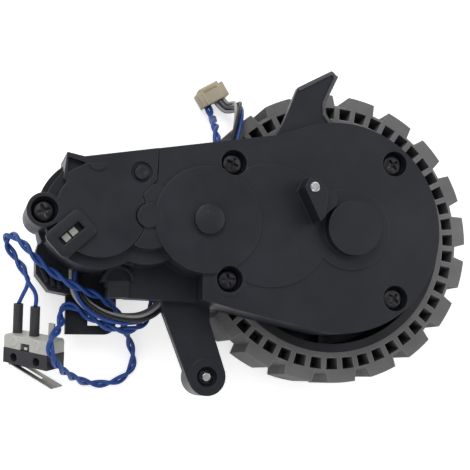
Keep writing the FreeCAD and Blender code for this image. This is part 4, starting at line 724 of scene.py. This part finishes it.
def makeConnector():
    length, width, height, end = plug["length"], plug["width"], plug["height"], plug["endWall"]
    middle = newBlock("plugBody", (0, 0, height / 2), (length - 2 * end, width, height))
    parts = [middle]
    for side in (-1, 1):
        reach = side * (length / 2 - end / 2)
        parts.append(newBlock("plugEnd", (reach, width * plug["endShift"], height / 2),
                              (end, width * plug["endWidth"], height * plug["endHeight"])))
        ridge = side * (length / 2 - end - plug["groove"])
        parts.append(newBlock("plugRib", (ridge, 0, height / 2 + plug["ribRise"]), (plug["groove"], width, height)))
    for part in parts:
        softened(part, plug["soft"], 3)
    latch = newBlock("plugLatch", (0, width / 2 - plug["latchIn"], height),
                     (length * plug["latchShare"], plug["latchDepth"], plug["latchHeight"]))
    pickFaces(latch, facesUp)
    bpy.ops.transform.translate(value=(0, plug["latchLean"], 0))
    leaveEdit()
    softened(latch, plug["latchSoft"], 2)
    parts.append(latch)
    bores = []
    for index in range(plug["count"]):
        across = (index - (plug["count"] - 1) / 2) * plug["pitch"]
        bores.append(newBlock("plugBore", (across, 0, height / 2), (plug["bore"], width * 2, plug["bore"])))
    carved(middle, bores)
    piece = joined("lead_connector", parts)
    placed(piece, plug["middle"] + (0.0,), Matrix.Rotation(math.radians(plug["turn"]), 3, "Z"))
    dressed(piece, "nylon", standsFor=["connector_housing"])
    return piece


connectorPiece = makeConnector()
print("connector ready")

# Rounded frame round the sensor window
windowFrame = {
    "middle": (-61.9, -2.8), "turn": 42.0, "length": 9.5, "width": 6.9, "corner": 1.5,
    "low": 28.4, "high": 30.24, "slotLength": 5.8, "slotWidth": 2.0, "slotDepth": 6,
    "lipInset": 0.3, "lipRise": 0.06, "soft": 0.16}


def makeWindowFrame():
    low, high = windowFrame["low"], windowFrame["high"]
    pad = newBlock("windowPad", (0, 0, (low + high) / 2), (windowFrame["length"], windowFrame["width"], high - low))
    pickEdges(pad, upright)
    bpy.ops.mesh.bevel(offset=windowFrame["corner"], segments=6)
    leaveEdit()
    pickFaces(pad, facesUp)
    bpy.ops.mesh.inset(thickness=windowFrame["lipInset"])
    bpy.ops.transform.translate(value=(0, 0, windowFrame["lipRise"]))
    leaveEdit()
    carved(pad, [newBlock("slotCut", (0, 0, high),
                          (windowFrame["slotLength"], windowFrame["slotWidth"], windowFrame["slotDepth"]))])
    softened(pad, windowFrame["soft"], 3)
    placed(pad, windowFrame["middle"] + (0.0,), Matrix.Rotation(math.radians(windowFrame["turn"]), 3, "Z"))
    pad.name = "window_frame"
    dressed(pad, "cover")


makeWindowFrame()
print("window frame ready")

# Raised bead along the fin's edge, painted paler as a highlight, and the crease at its foot
finBead = {
    "line": [(-11.1, 31.7), (-3.35, 35.95), (-2.45, 35.0), (-5.4, 28.8), (-5.35, 26.2), (-3.8, 23.9)],
    "width": 0.75, "low": 26.2, "high": 27.5, "soft": 0.26,
    "crease": [(-11.2, 21.6), (-8.6, 22.5), (-5.2, 22.9), (-1.9, 23.0)], "creaseWidth": 0.34,
    "creaseHigh": 27.16, "creaseSoft": 0.1}


def beadAlong(name, line, width, low, high, soft):
    parts = []
    for start, end in zip(line, line[1:]):
        run = Vector(end) - Vector(start)
        middle = (Vector(start) + Vector(end)) / 2
        turn = math.degrees(math.atan2(run.y, run.x))
        parts.append(newBlock(name, (0, 0, 0), (run.length, width, high - low)))
        alone(parts[-1])
        parts[-1].rotation_euler = (0, 0, math.radians(turn))
        parts[-1].location = (middle.x, middle.y, (low + high) / 2)
        bpy.ops.object.transform_apply(location=True, rotation=True, scale=True)
        pickEdges(parts[-1], lambda edge: min(vert.co.z for vert in edge.verts) > high - 0.01)
        bpy.ops.mesh.bevel(offset=soft, segments=3)
        leaveEdit()
    for spot in line:
        knee = newRound(name, (spot[0], spot[1], (low + high) / 2), width / 2, high - low, 20)
        pickFaces(knee, facesUp)
        bpy.ops.mesh.bevel(offset=soft * 0.9, segments=3)
        leaveEdit()
        parts.append(knee)
    piece = joined(name, parts)
    alone(piece)
    bpy.ops.object.shade_smooth_by_angle(angle=smoothAngle)
    placed(piece)
    return piece


finRim = beadAlong("fin_rim", finBead["line"], finBead["width"], finBead["low"], finBead["high"],
                   finBead["soft"])
dressed(finRim, "rimHighlight")
finCrease = beadAlong("fin_crease", finBead["crease"], finBead["creaseWidth"], finBead["low"],
                      finBead["creaseHigh"], finBead["creaseSoft"])
dressed(finCrease, "cover")
print("fin ready")

# Small moulded marks: the button over the gear pin, its nub, and the melted stake
smallMarks = {
    "gear": (-32.474, 1.101), "button": 3.38, "buttonLow": 29.6, "buttonHigh": 31.1, "buttonInset": 0.5,
    "buttonRise": 0.16, "buttonSoft": 0.22,
    "nub": (-32.5, 2.3), "nubRadius": 0.55, "nubHigh": 31.35, "nubDepth": 0.6, "nubSoft": 0.2,
    "stake": (-47.1, 10.8), "stakeRadius": 1.3, "stakeLow": 28.6, "stakeHigh": 29.75,
    "stakeCross": (1.9, 0.42, 0.9), "stakeTurn": 25, "stakeSoft": 0.1}


def makeMarks():
    low, high = smallMarks["buttonLow"], smallMarks["buttonHigh"]
    button = newRound("button", smallMarks["gear"] + ((low + high) / 2,), smallMarks["button"], high - low, 64)
    pickFaces(button, facesUp)
    bpy.ops.mesh.inset(thickness=smallMarks["buttonInset"])
    bpy.ops.transform.translate(value=(0, 0, smallMarks["buttonRise"]))
    leaveEdit()
    softened(button, smallMarks["buttonSoft"], 3)
    depth = smallMarks["nubDepth"]
    nub = newRound("nub", smallMarks["nub"] + (smallMarks["nubHigh"] - depth / 2,), smallMarks["nubRadius"],
                   depth, 20)
    softened(nub, smallMarks["nubSoft"], 3)
    stakeLow, stakeHigh = smallMarks["stakeLow"], smallMarks["stakeHigh"]
    melt = newRound("melt", smallMarks["stake"] + ((stakeLow + stakeHigh) / 2,), smallMarks["stakeRadius"],
                    stakeHigh - stakeLow, 32)
    along, across, deep = smallMarks["stakeCross"]
    top = smallMarks["stake"] + (stakeHigh,)
    carved(melt, [newBlock("meltCut", top, (along, across, deep), smallMarks["stakeTurn"]),
                  newBlock("meltCut", top, (across, along, deep), smallMarks["stakeTurn"])])
    softened(melt, smallMarks["stakeSoft"], 2)
    piece = joined("moulded_marks", [button, nub, melt])
    placed(piece)
    dressed(piece, "cover")


makeMarks()
print("marks ready")

# Guard ribs that stand on the low lobe where the motor leads come out
guardRibs = {
    "feet": [((-66.6, -8.6), (-65.4, -11.2)), ((-64.9, -8.6), (-64.0, -12.0)), ((-63.2, -9.0), (-62.6, -12.6))],
    "width": 1.0, "low": 10.8, "high": 12.7, "soft": 0.3}


def makeRibs():
    ribs = []
    for start, end in guardRibs["feet"]:
        ribs.append(beadAlong("guardRib", [start, end], guardRibs["width"], guardRibs["low"],
                              guardRibs["high"], guardRibs["soft"]))
    piece = joined("guard_ribs", ribs)
    dressed(piece, "housing")


makeRibs()
print("ribs ready")
